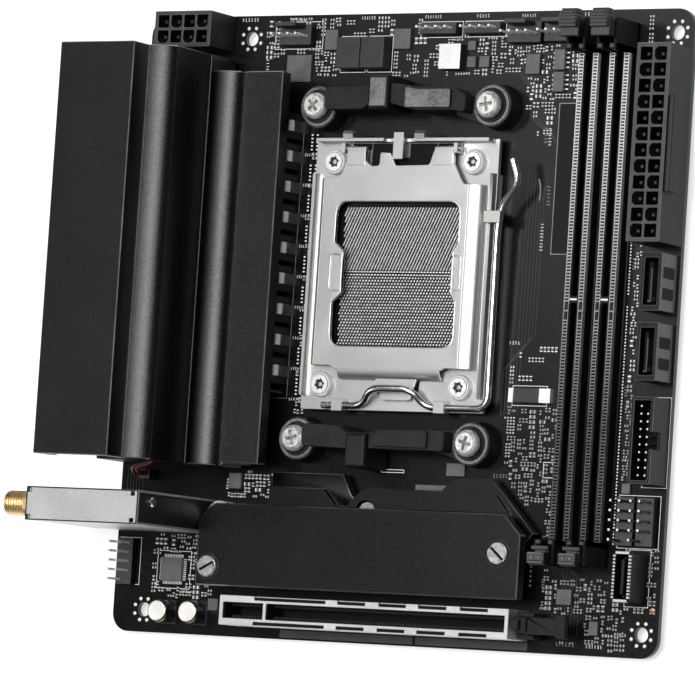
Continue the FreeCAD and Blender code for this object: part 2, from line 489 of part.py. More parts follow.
# --- power connectors: a shell of square sockets on a fixed pitch ----------------------------
def power(name, cx, cy, nx, ny, zt):
    """nx columns along X and ny rows along Y of square sockets, from the low corner (cx, cy)"""
    p = V["atx_pitch"]
    lx, wy = nx * p + 1.5, ny * p + 1.5
    shell = Part.makeBox(lx, wy, zt, pos(cx, cy, 0.0))
    tools, pins = [], []
    for i in range(nx):
        for j in range(ny):
            x, y = cx + 0.75 + i * p + p / 2, cy + 0.75 + j * p + p / 2
            t = Part.makeBox(3.5, 3.5, 9.4, pos(x - 1.75, y - 1.75, zt - 9.0))
            # half of the sockets have two bevelled corners, as the keying of these plugs needs
            if (i + j) % 2 == 0:
                ed = [e for e in t.Edges if abs(e.tangentAt(e.FirstParameter).z) > 0.99]
                ed = [e for e in ed if e.Vertexes[0].Point.x < (x - X0)] if nx == 2 else [e for e in ed if e.Vertexes[0].Point.y < (y - Y0)]
                t = t.makeChamfer(0.8, ed)
            tools.append(t)
            pins.append(Part.makeBox(0.9, 0.9, 7.6, pos(x - 0.45, y - 0.45, zt - 9.0)))
    return shell.cut(tools), pins


atx, pins1 = power("atx", 160.25, 107.3, 2, 12, 12.8)
ramp = Part.makeBox(1.5, 25.0, 5.5, pos(170.15 - 0.02, 120.4, 6.4))
atx = atx.fuse(ramp).removeSplitter()
node(feature("atx_power_header", atx), "atx_power_header")
eps, pins2 = power("eps", 9.2, 159.9, 4, 2, 12.8)
node(feature("eps_power_header", eps), "eps_power_header")

# --- data and front panel connectors ----------------------------------------------------------
sata = []
for i, (ya, yb) in enumerate(((89.8, 105.0), (71.6, 86.8))):
    n = "sata" + word(i)
    a = span(n + "shell", (163.2, 169.3), (ya, yb), (0.0, 8.8))
    b = span(n + "cav", (164.2, 168.3), (ya + 1.4, yb - 1.4), (2.6, 10.0))
    c = span(n + "tongue", (165.2, 166.4), (ya + 2.4, yb - 2.4), (2.0, 8.0))
    d = span(n + "elbow", (166.2, 167.6), (ya + 2.4, ya + 3.6), (2.0, 8.0))
    sata.append(fuse(n + "port", [cut(n + "open", a, [b]), c, d]))
node(group("sata_ports", sata), "sata_ports")

us = span("ushell", (162.9, 169.6), (44.8, 67.4), (0.0, 9.0))
uc = span("ucav", (163.8, 168.7), (45.7, 66.5), (1.6, 10.0))
un = span("unotch", (168.0, 171.0), (53.8, 58.4), (4.6, 10.0))
node(cut("usb3_header", us, [uc, un]), "usb3_header")
cs = span("cshell", (160.3, 165.6), (14.1, 27.3), (0.0, 9.0))
cc = span("ccav", (160.9, 165.0), (14.8, 26.6), (1.4, 10.0))
ct = span("ctongue", (162.5, 163.4), (16.2, 25.2), (1.4, 8.2))
node(cut("usbc_header_shell", cs, [cc]), "usbc_header")

P = V["pin_pitch"]
HEAD = []        # (x centre, y centre, columns, rows)
HEAD.append((159.45, 35.3, 2, 5))
HEAD.append((165.35, 35.3, 2, 5))
HEAD.append((4.2, 19.1, 2, 5))
hb, hp, tails = [], [], []
for (cx, cy, nx, ny) in HEAD:
    hb.append(((cx - nx * P / 2, cx + nx * P / 2), (cy - ny * P / 2, cy + ny * P / 2), (0.0, 2.5)))
    for i in range(nx):
        for j in range(ny):
            x, y = cx + (i - (nx - 1) / 2) * P, cy + (j - (ny - 1) / 2) * P
            tails.append((x, y))
            if (i, j) in ((1, 0),):
                continue
            hp.append(((x - 0.32, x + 0.32), (y - 0.32, y + 0.32), (2.5, 8.5)))
for i in range(2):
    for j in range(10):
        if (i, j) == (1, 9):
            continue
        x, y = 165.25 + i * 2.0, 47.1 + j * 2.0
        hp.append(((x - 0.25, x + 0.25), (y - 0.25, y + 0.25), (1.6, 7.6)))
        tails.append((x, y))
FAN = [(48.4, 164.4, 4), (120.2, 164.2, 4), (131.4, 164.4, 4)]
fb = []
for (cx, cy, nn) in FAN:
    fb.append(((cx - nn * P / 2, cx + nn * P / 2), (cy - 2.9, cy + 2.6), (0.0, 2.4)))
    for i in range(nn):
        x = cx + (i - (nn - 1) / 2) * P
        hp.append(((x - 0.32, x + 0.32), (cy - 0.9, cy - 0.26), (2.4, 8.6)))
        tails.append((x, cy - 0.58))
fanb = bricks(fb)
fanw = bricks([((cx - 3.3, cx + 3.3), (cy + 1.5, cy + 2.6), (2.4, 8.0)) for cx, cy, nn in FAN])
RGB = [(93.4, 165.4, 4), (107.0, 165.4, 4)]
node(feature("fan_headers", Part.makeCompound([a.fuse(b) for a, b in zip(fanb.Solids, fanw.Solids)] + bricks([((cx - 5.7, cx + 5.7), (cy - 1.45, cy + 1.45), (0.0, 2.4)) for cx, cy, nn in RGB]).Solids)), "fan_headers")
for (cx, cy, nn) in RGB:
    for i in range(nn):
        x = cx + (i - (nn - 1) / 2) * 2.9
        hp.append(((x - 0.32, x + 0.32), (cy - 0.32, cy + 0.32), (2.4, 6.4)))
        tails.append((x, cy))
node(feature("connector_pins", Part.makeCompound(bricks(hp).Solids + pins1 + pins2)), "connector_pins")

# --- capacitors, chokes and integrated circuits -------------------------------------------------
caps = []
for i, (x, y) in enumerate(((18.1, 5.9), (28.0, 6.0))):
    c0 = cyl("capcan" + word(i), x, y, 0.5, 3.15, 5.6)
    caps.append(fuse("cap" + word(i), [c0, span("capbase" + word(i), (x - 3.3, x + 3.3), (y - 3.3, y + 3.3), (0.0, 0.9))]))
node(group("audio_capacitors", caps), "audio_capacitors")
CHOKES = [((62.9, 70.2), (154.8, 163.2), (0.0, 4.0)), ((70.5, 77.8), (154.8, 163.2), (0.0, 4.0)), ((94.4, 101.0), (154.4, 161.2), (0.0, 2.6)), ((123.4, 131.2), (65.6, 69.4), (0.0, 1.8))]
node(feature("power_chokes", bricks(CHOKE + CHOKES)), "power_chokes")
ICS = [((45.4, 53.2), (151.5, 158.9), (0.0, 0.9)), ((57.2, 61.2), (160.2, 165.7), (0.0, 1.0)), ((79.0, 84.2), (160.2, 165.7), (0.0, 1.0)),
       ((102.3, 104.6), (159.6, 162.1), (0.0, 0.9)), ((102.3, 104.9), (155.0, 157.9), (0.0, 0.9)), ((106.1, 109.1), (155.0, 158.0), (0.0, 0.9)),
       ((120.5, 124.7), (153.0, 158.3), (0.0, 1.0)), ((129.3, 132.5), (154.0, 159.4), (0.1, 1.5)), ((129.3, 132.5), (148.2, 153.4), (0.1, 1.5)),
       ((15.6, 22.4), (14.3, 20.7), (0.1, 1.3)), ((31.5, 34.6), (6.8, 10.0), (0.0, 1.0)), ((35.7, 39.7), (40.2, 44.4), (0.0, 1.2)),
       ((157.2, 159.6), (42.6, 45.2), (0.0, 1.0)), ((150.0, 152.6), (5.4, 9.0), (0.0, 1.0)), ((104.0, 109.6), (45.6, 49.0), (0.0, 1.0)), ((139.8, 144.2), (13.0, 17.0), (0.0, 1.0))]
node(feature("ic_packages", bricks(ICS)), "ic_packages")
leads = []
for k in (7, 8):
    (xa, xb), (ya, yb), z = ICS[k]
    for j in range(4):
        y = ya + 0.75 + j * (yb - ya - 1.5) / 3
        leads.append(((xa - 0.9, xa), (y - 0.2, y + 0.2), (0.0, 0.3)))
        leads.append(((xb, xb + 0.9), (y - 0.2, y + 0.2), (0.0, 0.3)))
(xa, xb), (ya, yb), z = ICS[9]
for j in range(12):
    x = xa + 0.5 + j * (xb - xa - 1.0) / 11
    leads.append(((x - 0.13, x + 0.13), (ya - 0.9, ya), (0.0, 0.3)))
    leads.append(((x - 0.13, x + 0.13), (yb, yb + 0.9), (0.0, 0.3)))
    y = ya + 0.4 + j * (yb - ya - 0.8) / 11
    leads.append(((xa - 0.9, xa), (y - 0.13, y + 0.13), (0.0, 0.3)))
    leads.append(((xb, xb + 0.9), (y - 0.13, y + 0.13), (0.0, 0.3)))
leads += [((121.9, 123.4), (65.6, 69.4), (0.0, 1.8)), ((131.2, 134.6), (65.6, 69.4), (0.0, 1.8))]
node(feature("component_leads", bricks(TERMINAL + leads)), "component_leads")

# --- wireless module bracket and its aerial jacks -----------------------------------------------
wx0, wx1, wy0, wy1, wz = -3.9, 32.4, 27.6, 36.8, 39.6
wo = span("wifiouter", (wx0, wx1), (wy0, wy1), (0.0, wz))
wi = span("wifiinner", (wx0 + 0.6, wx1 + 1.0), (wy0 + 0.6, wy1 - 0.6), (-1.0, wz - 0.6))
wc = span("wificlear", (wx0 - 1.0, 0.0), (wy0 - 1, wy1 + 1), (-1.0, 5.0))
wn = [span("wifinotch" + word(i), (a, a + 1.3), (b, b + 1.3), (wz - 1.2, wz + 1)) for i, (a, b) in enumerate(((-3.5, 27.9), (-3.5, 35.2), (29.9, 27.9), (29.9, 35.2)))]
wh = [cyl("wifihole" + word(i), wx0 - 1, 32.2, z, 3.3, 3.0, "X") for i, z in enumerate((35.0, 22.0))]
node(cut("wifi_bracket", wo, [wi, wc] + wn + wh), "wifi_bracket")
we = span("wifiend", (31.4, 32.4), (28.25, 36.15), (0.0, wz - 0.65))
node(we, "wifi_end_cap")
node(span("wifi_card", (2.0, 28.0), (31.0, 32.0), (6.0, 33.0)), "wifi_card")
wt = span("wifisock", (4.0, 27.0), (29.4, 33.8), (0.0, 6.0))
node(group("m2_sockets", [m2s, wt]), "m2_sockets")
jk = []
for i, z in enumerate((35.0, 22.0)):
    barrel = cyl("smabarrel" + word(i), -12.2, 32.2, z, 3.175, 10.2, "X")
    nut = cyl("smanut" + word(i), -5.4, 32.2, z, 4.3, 1.5, "X")
    bore = cyl("smabore" + word(i), -13.0, 32.2, z, 2.3, 8.0, "X")
    pinn = cyl("smapin" + word(i), -11.0, 32.2, z, 0.45, 9.5, "X")
    jk.append(fuse("sma" + word(i), [cut("smacut" + word(i), fuse("smasolid" + word(i), [barrel, nut]), [bore]), pinn]))
node(group("antenna_jacks", jk), "antenna_jacks")

# --- rear connectors under the heatsink ------------------------------------------------------------
AUD = [52.6, 65.4, 78.2]
blocks, collars = [], []
for i, y in enumerate(AUD):
    b = span("audblock" + word(i), (-0.6, 13.4), (y - 6.2, y + 6.2), (0.0, 12.4))
    c = cyl("audcollar" + word(i), -3.4, y, 6.4, 3.9, 3.0, "X")
    o = cyl("audbore" + word(i), -5.0, y, 6.4, 1.8, 15.0, "X")
    blocks.append(cut("aud" + word(i), fuse("audsolid" + word(i), [b, c]), [o]))
node(group("audio_jacks", blocks), "audio_jacks")


def usb_a(n, y, z):
    """the opening of one flat socket and the tongue inside it"""
    return span(n + "cav", (-2.0, 9.0), (y - 6.25, y + 6.25), (z - 2.55, z + 2.55)), span(n + "tongue", (-0.2, 9.0), (y - 5.4, y + 5.4), (z + 0.2, z + 2.0))


def stack(name, yc, wid, top, depth=21.2):
    return span(name + "can", (-1.0, depth - 1.0), (yc - wid / 2, yc + wid / 2), (0.0, top))


lan = stack("lan", 93.2, 16.4, 29.4)
c1, t1 = usb_a("lanusba", 93.2, 4.6)
c2, t2 = usb_a("lanusbb", 93.2, 11.8)
rj = span("lanrj", (-2.0, 13.4), (93.2 - 6.0, 93.2 + 6.0), (17.6, 25.6))
rjn = span("lanrjn", (-2.0, 13.4), (93.2 - 3.2, 93.2 + 3.2), (25.5, 27.6))
node(cut("lan_jack", lan, [c1, c2, rj, rjn]), "lan_usb_stack")
st1 = stack("usbp", 110.6, 14.6, 30.2)
cc1 = [usb_a("usbp" + word(i), 110.6, z) for i, z in enumerate((4.4, 11.5, 18.6, 25.7))]
node(cut("usb_stack", st1, [c for c, t in cc1]), "usb_stack")
st2 = stack("usbq", 126.6, 14.2, 22.6)
cc2 = [usb_a("usbq" + word(i), 126.6, z) for i, z in enumerate((4.6, 11.8))]
uc2 = span("usbqc", (-2.0, 7.0), (126.6 - 4.2, 126.6 + 4.2), (17.0, 19.6))
uct = span("usbqct", (-0.4, 7.0), (126.6 - 3.3, 126.6 + 3.3), (18.0, 18.6))
node(cut("usbc_stack", st2, [c for c, t in cc2] + [uc2]), "usbc_stack")
st3 = stack("disp", 145.0, 18.6, 24.2, 19.5)
hdmi = span("disphdmi", (-2.0, 9.0), (145.0 - 7.0, 145.0 + 7.0), (14.2, 18.8))
dpc = span("dispdp", (-2.0, 9.0), (145.0 - 8.0, 145.0 + 8.0), (3.6, 8.4))
ht = span("disphdmit", (-0.3, 9.0), (145.0 - 5.4, 145.0 + 5.4), (16.0, 17.0))
dt = span("dispdpt", (-0.3, 9.0), (145.0 - 6.6, 145.0 + 6.6), (5.5, 6.5))
node(cut("display_stack", st3, [hdmi, dpc]), "display_stack")
node(group("port_tongues", [ct, t1, t2] + [t for c, t in cc1] + [t for c, t in cc2] + [uct, ht, dt]), "port_tongues")

# --- clock battery, its lead and the socket the lead plugs into -------------------------------------
bat = cyl("batcell", 14.6, 57.6, 11.2, 10.4, 4.0, "X")
node(bat, "cmos_battery")
node(feature("pin_headers", bricks(hb + [((8.6, 12.0), (41.8, 44.4), (0.0, 4.6))])), "pin_headers")
lead = []
for k, dx in enumerate((0.0, 1.5)):
    route = [(9.55 + dx, 43.2, 4.6), (9.55 + dx, 43.2, 8.6), (11.0 + dx * 0.9, 44.6, 11.6), (14.6 + dx * 0.9, 45.4, 11.8), (16.0 + dx * 0.9, 46.2, 11.4), (16.0 + dx * 0.9, 47.0 + dx * 0.12, 11.3)]
    t = tube([tuple(pos(*p)) for p in route], 0.6)
    lead.append(t if t.ShapeType == "Solid" else Part.Solid(t))
node(feature("battery_lead", Part.makeCompound(lead)), "battery_lead")

# --- solder joints of the through-hole parts on the underside ---------------------------------------
for i in range(2):
    for j in range(12):
        tails.append((160.25 + 0.75 + (i + 0.5) * V["atx_pitch"], 107.3 + 0.75 + (j + 0.5) * V["atx_pitch"]))
for i in range(4):
    for j in range(2):
        tails.append((9.2 + 0.75 + (i + 0.5) * V["atx_pitch"], 159.9 + 0.75 + (j + 0.5) * V["atx_pitch"]))
for yc in (110.6, 126.6, 93.2):
    for i in range(4):
        for j in range(4):
            tails.append((4.0 + i * 4.0, yc - 4.5 + j * 3.0))
for i in range(5):
    tails += [(4.0 + i * 3.4, 139.5), (4.0 + i * 3.4, 150.5)]
for y in AUD:
    tails += [(3.0, y - 4), (3.0, y + 4), (10.5, y)]
tails += [(134.2, 6.9), (43.6, 6.9), (141.5, 26.0), (141.5, 162.0), (150.75, 26.0), (150.75, 162.0)]
sj = [Part.makeCone(0.85, 0.3, 1.2, pos(x, y, -V["board_thick"]), Vector(0, 0, -1)) for x, y in tails]
node(feature("solder_joints", Part.makeCompound(sj)), "solder_joints")

# --- bind, check and write -----------------------------------------------------------------------------
sheet.recompute()
for obj, prop, alias in BIND:
    obj.setExpression(prop, "Dims." + alias)
doc.recompute()
bad = [o.Name for o in doc.Objects if "Invalid" in o.State or "Error" in o.State]
if bad:
    raise SystemExit("failed objects: %s" % bad)
labels = [o.Label for o in NODES]
if len(set(labels)) != len(labels) or len(labels) > 60:
    raise SystemExit("node labels clash or are too many: %d" % len(labels))
for o in NODES:
    s = o.Shape
    if s.isNull() or not s.isValid() or not s.Solids or any(q.Volume <= 0 for q in s.Solids):
        raise SystemExit("bad shape: %s %s %s" % (o.Label, s.isValid(), [round(q.Volume, 2) for q in s.Solids][:9]))
os.makedirs("parts", exist_ok=True)
for f in os.listdir("parts"):
    if f.endswith(".step"):
        os.remove(os.path.join("parts", f))
for o in NODES:
    o.Shape.exportStep("parts/%s.step" % o.Label)
    bb = o.Shape.BoundBox
    print("%-24s solids %3d vol %9.1f  x %7.2f %7.2f  y %7.2f %7.2f  z %6.2f %6.2f" % (o.Label, len(o.Shape.Solids), o.Shape.Volume, bb.XMin, bb.XMax, bb.YMin, bb.YMax, bb.ZMin, bb.ZMax))
print("nodes", len(NODES), "cells", ROW[0])
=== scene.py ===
import bpy, bmesh, math, random, json
from mathutils import Vector, Matrix
from mathutils.geometry import tessellate_polygon


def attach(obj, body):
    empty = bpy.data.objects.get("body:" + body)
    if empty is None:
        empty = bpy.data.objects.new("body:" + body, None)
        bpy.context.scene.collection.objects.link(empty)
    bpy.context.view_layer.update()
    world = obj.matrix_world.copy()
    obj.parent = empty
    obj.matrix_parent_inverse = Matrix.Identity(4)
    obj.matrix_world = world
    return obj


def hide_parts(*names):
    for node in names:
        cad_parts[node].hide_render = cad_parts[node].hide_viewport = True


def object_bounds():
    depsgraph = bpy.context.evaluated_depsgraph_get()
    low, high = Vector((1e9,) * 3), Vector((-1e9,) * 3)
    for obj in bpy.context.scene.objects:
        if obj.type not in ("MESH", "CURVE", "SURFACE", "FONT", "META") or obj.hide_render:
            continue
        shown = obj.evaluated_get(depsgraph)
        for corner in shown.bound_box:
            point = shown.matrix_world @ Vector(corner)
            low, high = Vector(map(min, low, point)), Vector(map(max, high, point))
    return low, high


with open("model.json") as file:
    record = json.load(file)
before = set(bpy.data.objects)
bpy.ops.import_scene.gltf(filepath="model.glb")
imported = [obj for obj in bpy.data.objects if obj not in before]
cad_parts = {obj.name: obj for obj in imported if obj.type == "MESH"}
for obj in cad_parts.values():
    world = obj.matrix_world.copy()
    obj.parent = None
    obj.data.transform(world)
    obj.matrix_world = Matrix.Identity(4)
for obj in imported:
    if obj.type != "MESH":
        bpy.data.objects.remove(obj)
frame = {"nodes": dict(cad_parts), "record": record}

CAD_LOW, CAD_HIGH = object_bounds()
CAD_LOW, CAD_HIGH = [float(v) for v in CAD_LOW], [float(v) for v in CAD_HIGH]
rng = random.Random(20)
scene = bpy.context.scene
REC = frame["record"]
SLOT_OF = {s["node"]: s["material_slot"] for s in REC["subparts"]}
BODY_OF = {n: b for b, ns in REC["behaviour"]["bodies"].items() for n in ns}


def P(x, y, z):
    """board millimetres (from the board's rear lower corner and its component face) to row metres"""
    return ((x - 10.16) / 1000.0, (y - 6.17) / 1000.0, (z + 1.6) / 1000.0)


# ------------------------------------------------------------------ materials
def new_mat(name):
    m = bpy.data.materials.new(name)
    m.use_nodes = True
    nt = m.node_tree
    for n in list(nt.nodes):
        nt.nodes.remove(n)
    out = nt.nodes.new("ShaderNodeOutputMaterial")
    b = nt.nodes.new("ShaderNodeBsdfPrincipled")
    nt.links.new(b.outputs[0], out.inputs[0])
    tc = nt.nodes.new("ShaderNodeTexCoord")
    return m, nt, b, tc


def noise(nt, tc, scale, detail=3.0, rough=0.55, stretch=None):
    n = nt.nodes.new("ShaderNodeTexNoise")
    n.inputs["Scale"].default_value = scale
    n.inputs["Detail"].default_value = detail
    n.inputs["Roughness"].default_value = rough
    if stretch:
        mp = nt.nodes.new("ShaderNodeMapping")
        mp.inputs["Scale"].default_value = stretch
        nt.links.new(tc.outputs["Object"], mp.inputs["Vector"])
        nt.links.new(mp.outputs[0], n.inputs["Vector"])
    else:
        nt.links.new(tc.outputs["Object"], n.inputs["Vector"])
    return n.outputs[0]


def ramp(nt, fac, stops):
    r = nt.nodes.new("ShaderNodeValToRGB")
    els = r.color_ramp.elements
    while len(els) < len(stops):
        els.new(0.5)
    for e, (p, c) in zip(els, stops):
        e.position = p
        e.color = (c[0], c[1], c[2], 1.0) if not isinstance(c, float) else (c, c, c, 1.0)
    nt.links.new(fac, r.inputs[0])
    return r.outputs[0]


def span_to(nt, fac, lo, hi, a=0.3, b=0.7):
    r = nt.nodes.new("ShaderNodeMapRange")
    r.inputs["From Min"].default_value = a
    r.inputs["From Max"].default_value = b
    r.inputs["To Min"].default_value = lo
    r.inputs["To Max"].default_value = hi
    nt.links.new(fac, r.inputs["Value"])
    return r.outputs[0]


def surface(name, c0, c1, metal=0.0, rough=(0.35, 0.5), grain=4000.0, bump=0.02, patch=120.0, spec=0.5,
            stretch=None, coat=0.0, edge=0.0, detail=2.0, mottle=0.5, blotch=None):
    """a mottled surface: two colours mixed by fine grain and broad patches, with grain in roughness and bump"""
    m, nt, b, tc = new_mat(name)
    fine = noise(nt, tc, grain, detail, 0.6, stretch)
    broad = noise(nt, tc, patch, 3.0)
    mix = nt.nodes.new("ShaderNodeMath")
    mix.operation = "MULTIPLY_ADD"
    nt.links.new(broad, mix.inputs[0])
    mix.inputs[1].default_value = mottle
    sc = nt.nodes.new("ShaderNodeMath")
    sc.operation = "MULTIPLY"
    nt.links.new(fine, sc.inputs[0])
    sc.inputs[1].default_value = 1.0 - mottle
    nt.links.new(sc.outputs[0], mix.inputs[2])
    col = ramp(nt, mix.outputs[0], [(0.36, c0), (0.64, c1)])
    nt.links.new(col, b.inputs["Base Color"])
    b.inputs["Metallic"].default_value = metal
    b.inputs["Specular IOR Level"].default_value = spec
    if coat:
        b.inputs["Coat Weight"].default_value = coat
        b.inputs["Coat Roughness"].default_value = 0.18
    nt.links.new(span_to(nt, mix.outputs[0], rough[0], rough[1]), b.inputs["Roughness"])
    if bump:
        bp = nt.nodes.new("ShaderNodeBump")
        bp.inputs["Strength"].default_value = 1.0
        bp.inputs["Distance"].default_value = bump / 1000.0
        nt.links.new(fine, bp.inputs["Height"])
        nt.links.new(bp.outputs[0], b.inputs["Normal"])
    return m


M = {}
M["anod_low"] = surface("black_anodised_fine", (0.014, 0.014, 0.0142), (0.033, 0.033, 0.034), metal=1.0, rough=(0.26, 0.34), grain=3600.0, bump=0.05, patch=60.0, mottle=0.10, detail=3.0)
M["anod"] = surface("black_anodised", (0.024, 0.024, 0.0245), (0.052, 0.052, 0.054), metal=1.0, rough=(0.25, 0.33), grain=3600.0, bump=0.055, patch=60.0, mottle=0.12, detail=3.0)
# pale metal for the heatsinks' bevelled edges: painted highlight
M["anod_edge_highlight"] = surface("anodised_painted_edge_highlight", (0.26, 0.26, 0.27), (0.44, 0.44, 0.45), metal=1.0, rough=(0.32, 0.5), grain=3000.0, bump=0.01)
M["steel"] = surface("satin_steel", (0.50, 0.494, 0.482), (0.60, 0.594, 0.582), metal=0.92, rough=(0.32, 0.42), grain=900.0, bump=0.003, patch=40.0, stretch=(1.0, 9.0, 1.0))
M["bright"] = surface("bright_steel", (0.70, 0.69, 0.67), (0.90, 0.89, 0.87), metal=1.0, rough=(0.14, 0.28), grain=1500.0, bump=0.006, patch=300.0)
M["pin"] = surface("pin_tin", (0.80, 0.79, 0.78), (0.97, 0.96, 0.95), metal=0.22, rough=(0.20, 0.34), grain=1500.0, bump=0.004, patch=300.0)
# a near-black copy of the pin metal for pins deep in headers, tips in the slot, screw recesses and thin outlines:
# painted shade
M["pin_shade"] = surface("pin_painted_shade", (0.014, 0.014, 0.014), (0.035, 0.035, 0.035), metal=0.6, rough=(0.4, 0.55), grain=1500.0, bump=0.004, patch=300.0)
M["zinc"] = surface("zinc_plate", (0.62, 0.61, 0.59), (0.96, 0.95, 0.93), metal=0.65, rough=(0.20, 0.40), grain=900.0, bump=0.03, patch=500.0)
M["shield"] = surface("shield_tin", (0.54, 0.535, 0.525), (0.66, 0.655, 0.645), metal=0.8, rough=(0.34, 0.46), grain=2200.0, bump=0.004, patch=50.0)
M["gold"] = surface("gold_plate", (0.86, 0.62, 0.34), (0.97, 0.77, 0.50), metal=1.0, rough=(0.30, 0.44), grain=1200.0, bump=0.008, patch=400.0)
M["contact"] = surface("contact_spring", (0.62, 0.61, 0.60), (0.88, 0.87, 0.86), metal=0.35, rough=(0.22, 0.36), grain=900.0, bump=0.0, patch=500.0)
# near-black slot contacts: painted shade down inside the slots
M["slot_contact_shade"] = surface("slot_contact_painted_shade", (0.007, 0.0068, 0.0062), (0.016, 0.0155, 0.014), metal=0.7, rough=(0.4, 0.5), grain=900.0, bump=0.0, patch=500.0)
M["plastic"] = surface("black_plastic", (0.006, 0.006, 0.0065), (0.014, 0.014, 0.015), rough=(0.38, 0.52), grain=3600.0, bump=0.012, patch=150.0, spec=0.17)
# near-black plastic: the own body of the pin headers and the expansion slot, and painted shade in wells, slot floors,
# screw slots and gaps
M["plastic_black_and_shade"] = surface("black_plastic_and_painted_shade", (0.0015, 0.0015, 0.0015), (0.004, 0.004, 0.004), rough=(0.6, 0.75), grain=3600.0, bump=0.006, patch=150.0, spec=0.15)
M["screw_dull"] = surface("nickel_screw", (0.34, 0.335, 0.325), (0.66, 0.65, 0.63), metal=0.75, rough=(0.25, 0.4), grain=900.0, bump=0.02, patch=500.0)
# darker metal for screw recess floors and the choke leads under the heatsink overhang: painted shade
M["tab"] = surface("choke_tab", (0.14, 0.14, 0.14), (0.34, 0.34, 0.33), metal=0.8, rough=(0.3, 0.42), grain=1500.0, bump=0.01, patch=500.0)
M["plastic_rough"] = surface("textured_plastic", (0.002, 0.002, 0.0022), (0.013, 0.013, 0.0135), rough=(0.42, 0.58), grain=1900.0, bump=0.09, patch=180.0, spec=0.26)
# a lighter grey for bracket lug, clip and ring tops: painted sheen
M["lug_top_sheen"] = surface("lug_top_painted_sheen", (0.035, 0.035, 0.0355), (0.21, 0.21, 0.214), rough=(0.42, 0.60), grain=1700.0, bump=0.08, patch=180.0)
# a pale grey of the black plastic for bevelled top edges and the lower latch ridges: painted highlight
M["rim"] = surface("plastic_painted_highlight", (0.085, 0.085, 0.086), (0.15, 0.15, 0.152), rough=(0.35, 0.5), grain=2500.0, bump=0.01, patch=200.0)
# a lighter grey of the black plastic for top faces, the data ports' outer +X wall and small ridges and strips: painted
# sheen
M["painted_sheen"] = surface("plastic_painted_sheen", (0.022, 0.022, 0.022), (0.045, 0.045, 0.046), rough=(0.35, 0.5), grain=2500.0, bump=0.01, patch=200.0)
M["pcb"] = surface("board_black", (0.0028, 0.0028, 0.0031), (0.0062, 0.0062, 0.0068), rough=(0.17, 0.25), grain=1400.0, bump=0.002, patch=90.0, spec=0.36)
M["trace"] = surface("covered_copper", (0.018, 0.018, 0.019), (0.036, 0.036, 0.038), rough=(0.24, 0.34), grain=1400.0, bump=0.002, patch=90.0)
M["strip"] = surface("board_strip", (0.022, 0.022, 0.0225), (0.034, 0.034, 0.035), rough=(0.35, 0.48), grain=1800.0, bump=0.002, patch=90.0)
M["label"] = surface("label_black", (0.0015, 0.0015, 0.0015), (0.004, 0.004, 0.004), rough=(0.5, 0.6), grain=1800.0, bump=0.002, patch=90.0, spec=0.2)
M["silk"] = surface("silk_ink", (0.66, 0.66, 0.65), (0.90, 0.90, 0.88), rough=(0.6, 0.75), grain=6000.0, bump=0.004, patch=500.0)
M["silk_grey"] = surface("silk_ink_thin", (0.16, 0.16, 0.16), (0.32, 0.32, 0.31), rough=(0.6, 0.75), grain=6000.0, bump=0.004, patch=500.0)
# near-white tin for the choke terminals: partly the tin's own colour, partly a painted glint
M["terminal"] = surface("tin_and_painted_glint", (0.86, 0.86, 0.85), (1.0, 1.0, 0.99), rough=(0.12, 0.22), grain=900.0, bump=0.004, patch=300.0, spec=1.0)
# a darker copy of the solder for parts in the lower right of the board: painted shade
M["solder_shade"] = surface("solder_painted_shade", (0.34, 0.34, 0.335), (0.56, 0.56, 0.55), metal=0.4, rough=(0.3, 0.45), grain=1800.0, bump=0.02, patch=700.0)
M["ic"] = surface("chip_epoxy", (0.070, 0.070, 0.071), (0.115, 0.115, 0.117), rough=(0.34, 0.50), grain=4500.0, bump=0.015, patch=300.0)
M["smd"] = surface("part_ceramic", (0.020, 0.017, 0.014), (0.060, 0.050, 0.040), rough=(0.35, 0.5), grain=1500.0, bump=0.01, patch=700.0)
M["ferrite"] = surface("ferrite", (0.010, 0.010, 0.0105), (0.024, 0.024, 0.025), rough=(0.40, 0.6), grain=2500.0, bump=0.03, patch=300.0)
M["pad"] = surface("thermal_pad", (0.20, 0.22, 0.25), (0.30, 0.32, 0.35), rough=(0.7, 0.85), grain=1800.0, bump=0.05)
M["solder"] = surface("solder", (0.74, 0.74, 0.74), (0.95, 0.95, 0.94), metal=0.4, rough=(0.26, 0.42), grain=1800.0, bump=0.02, patch=700.0)
M["copper"] = surface("bare_copper", (0.62, 0.33, 0.20), (0.80, 0.46, 0.30), metal=1.0, rough=(0.3, 0.42), grain=1200.0, bump=0.004, patch=500.0)
M["red"] = surface("red_insulation", (0.075, 0.008, 0.008), (0.13, 0.016, 0.014), rough=(0.35, 0.5), grain=1500.0, bump=0.01)
M["blue"] = surface("blue_tongue", (0.02, 0.07, 0.28), (0.03, 0.10, 0.36), rough=(0.3, 0.45), grain=1500.0, bump=0.006)
M["cap"] = surface("capacitor_top", (0.74, 0.74, 0.73), (0.90, 0.90, 0.89), metal=0.3, rough=(0.35, 0.5), grain=1500.0, bump=0.004)
M["sleeve"] = surface("capacitor_sleeve", (0.006, 0.006, 0.007), (0.014, 0.014, 0.014), rough=(0.10, 0.18), grain=600.0, bump=0.0, coat=0.6)
M["film"] = surface("black_film", (0.014, 0.014, 0.014), (0.024, 0.024, 0.024), rough=(0.5, 0.65), grain=1500.0, bump=0.02)
M["paint"] = surface("black_paint", (0.012, 0.012, 0.013), (0.024, 0.024, 0.026), rough=(0.32, 0.46), grain=2200.0, bump=0.015)


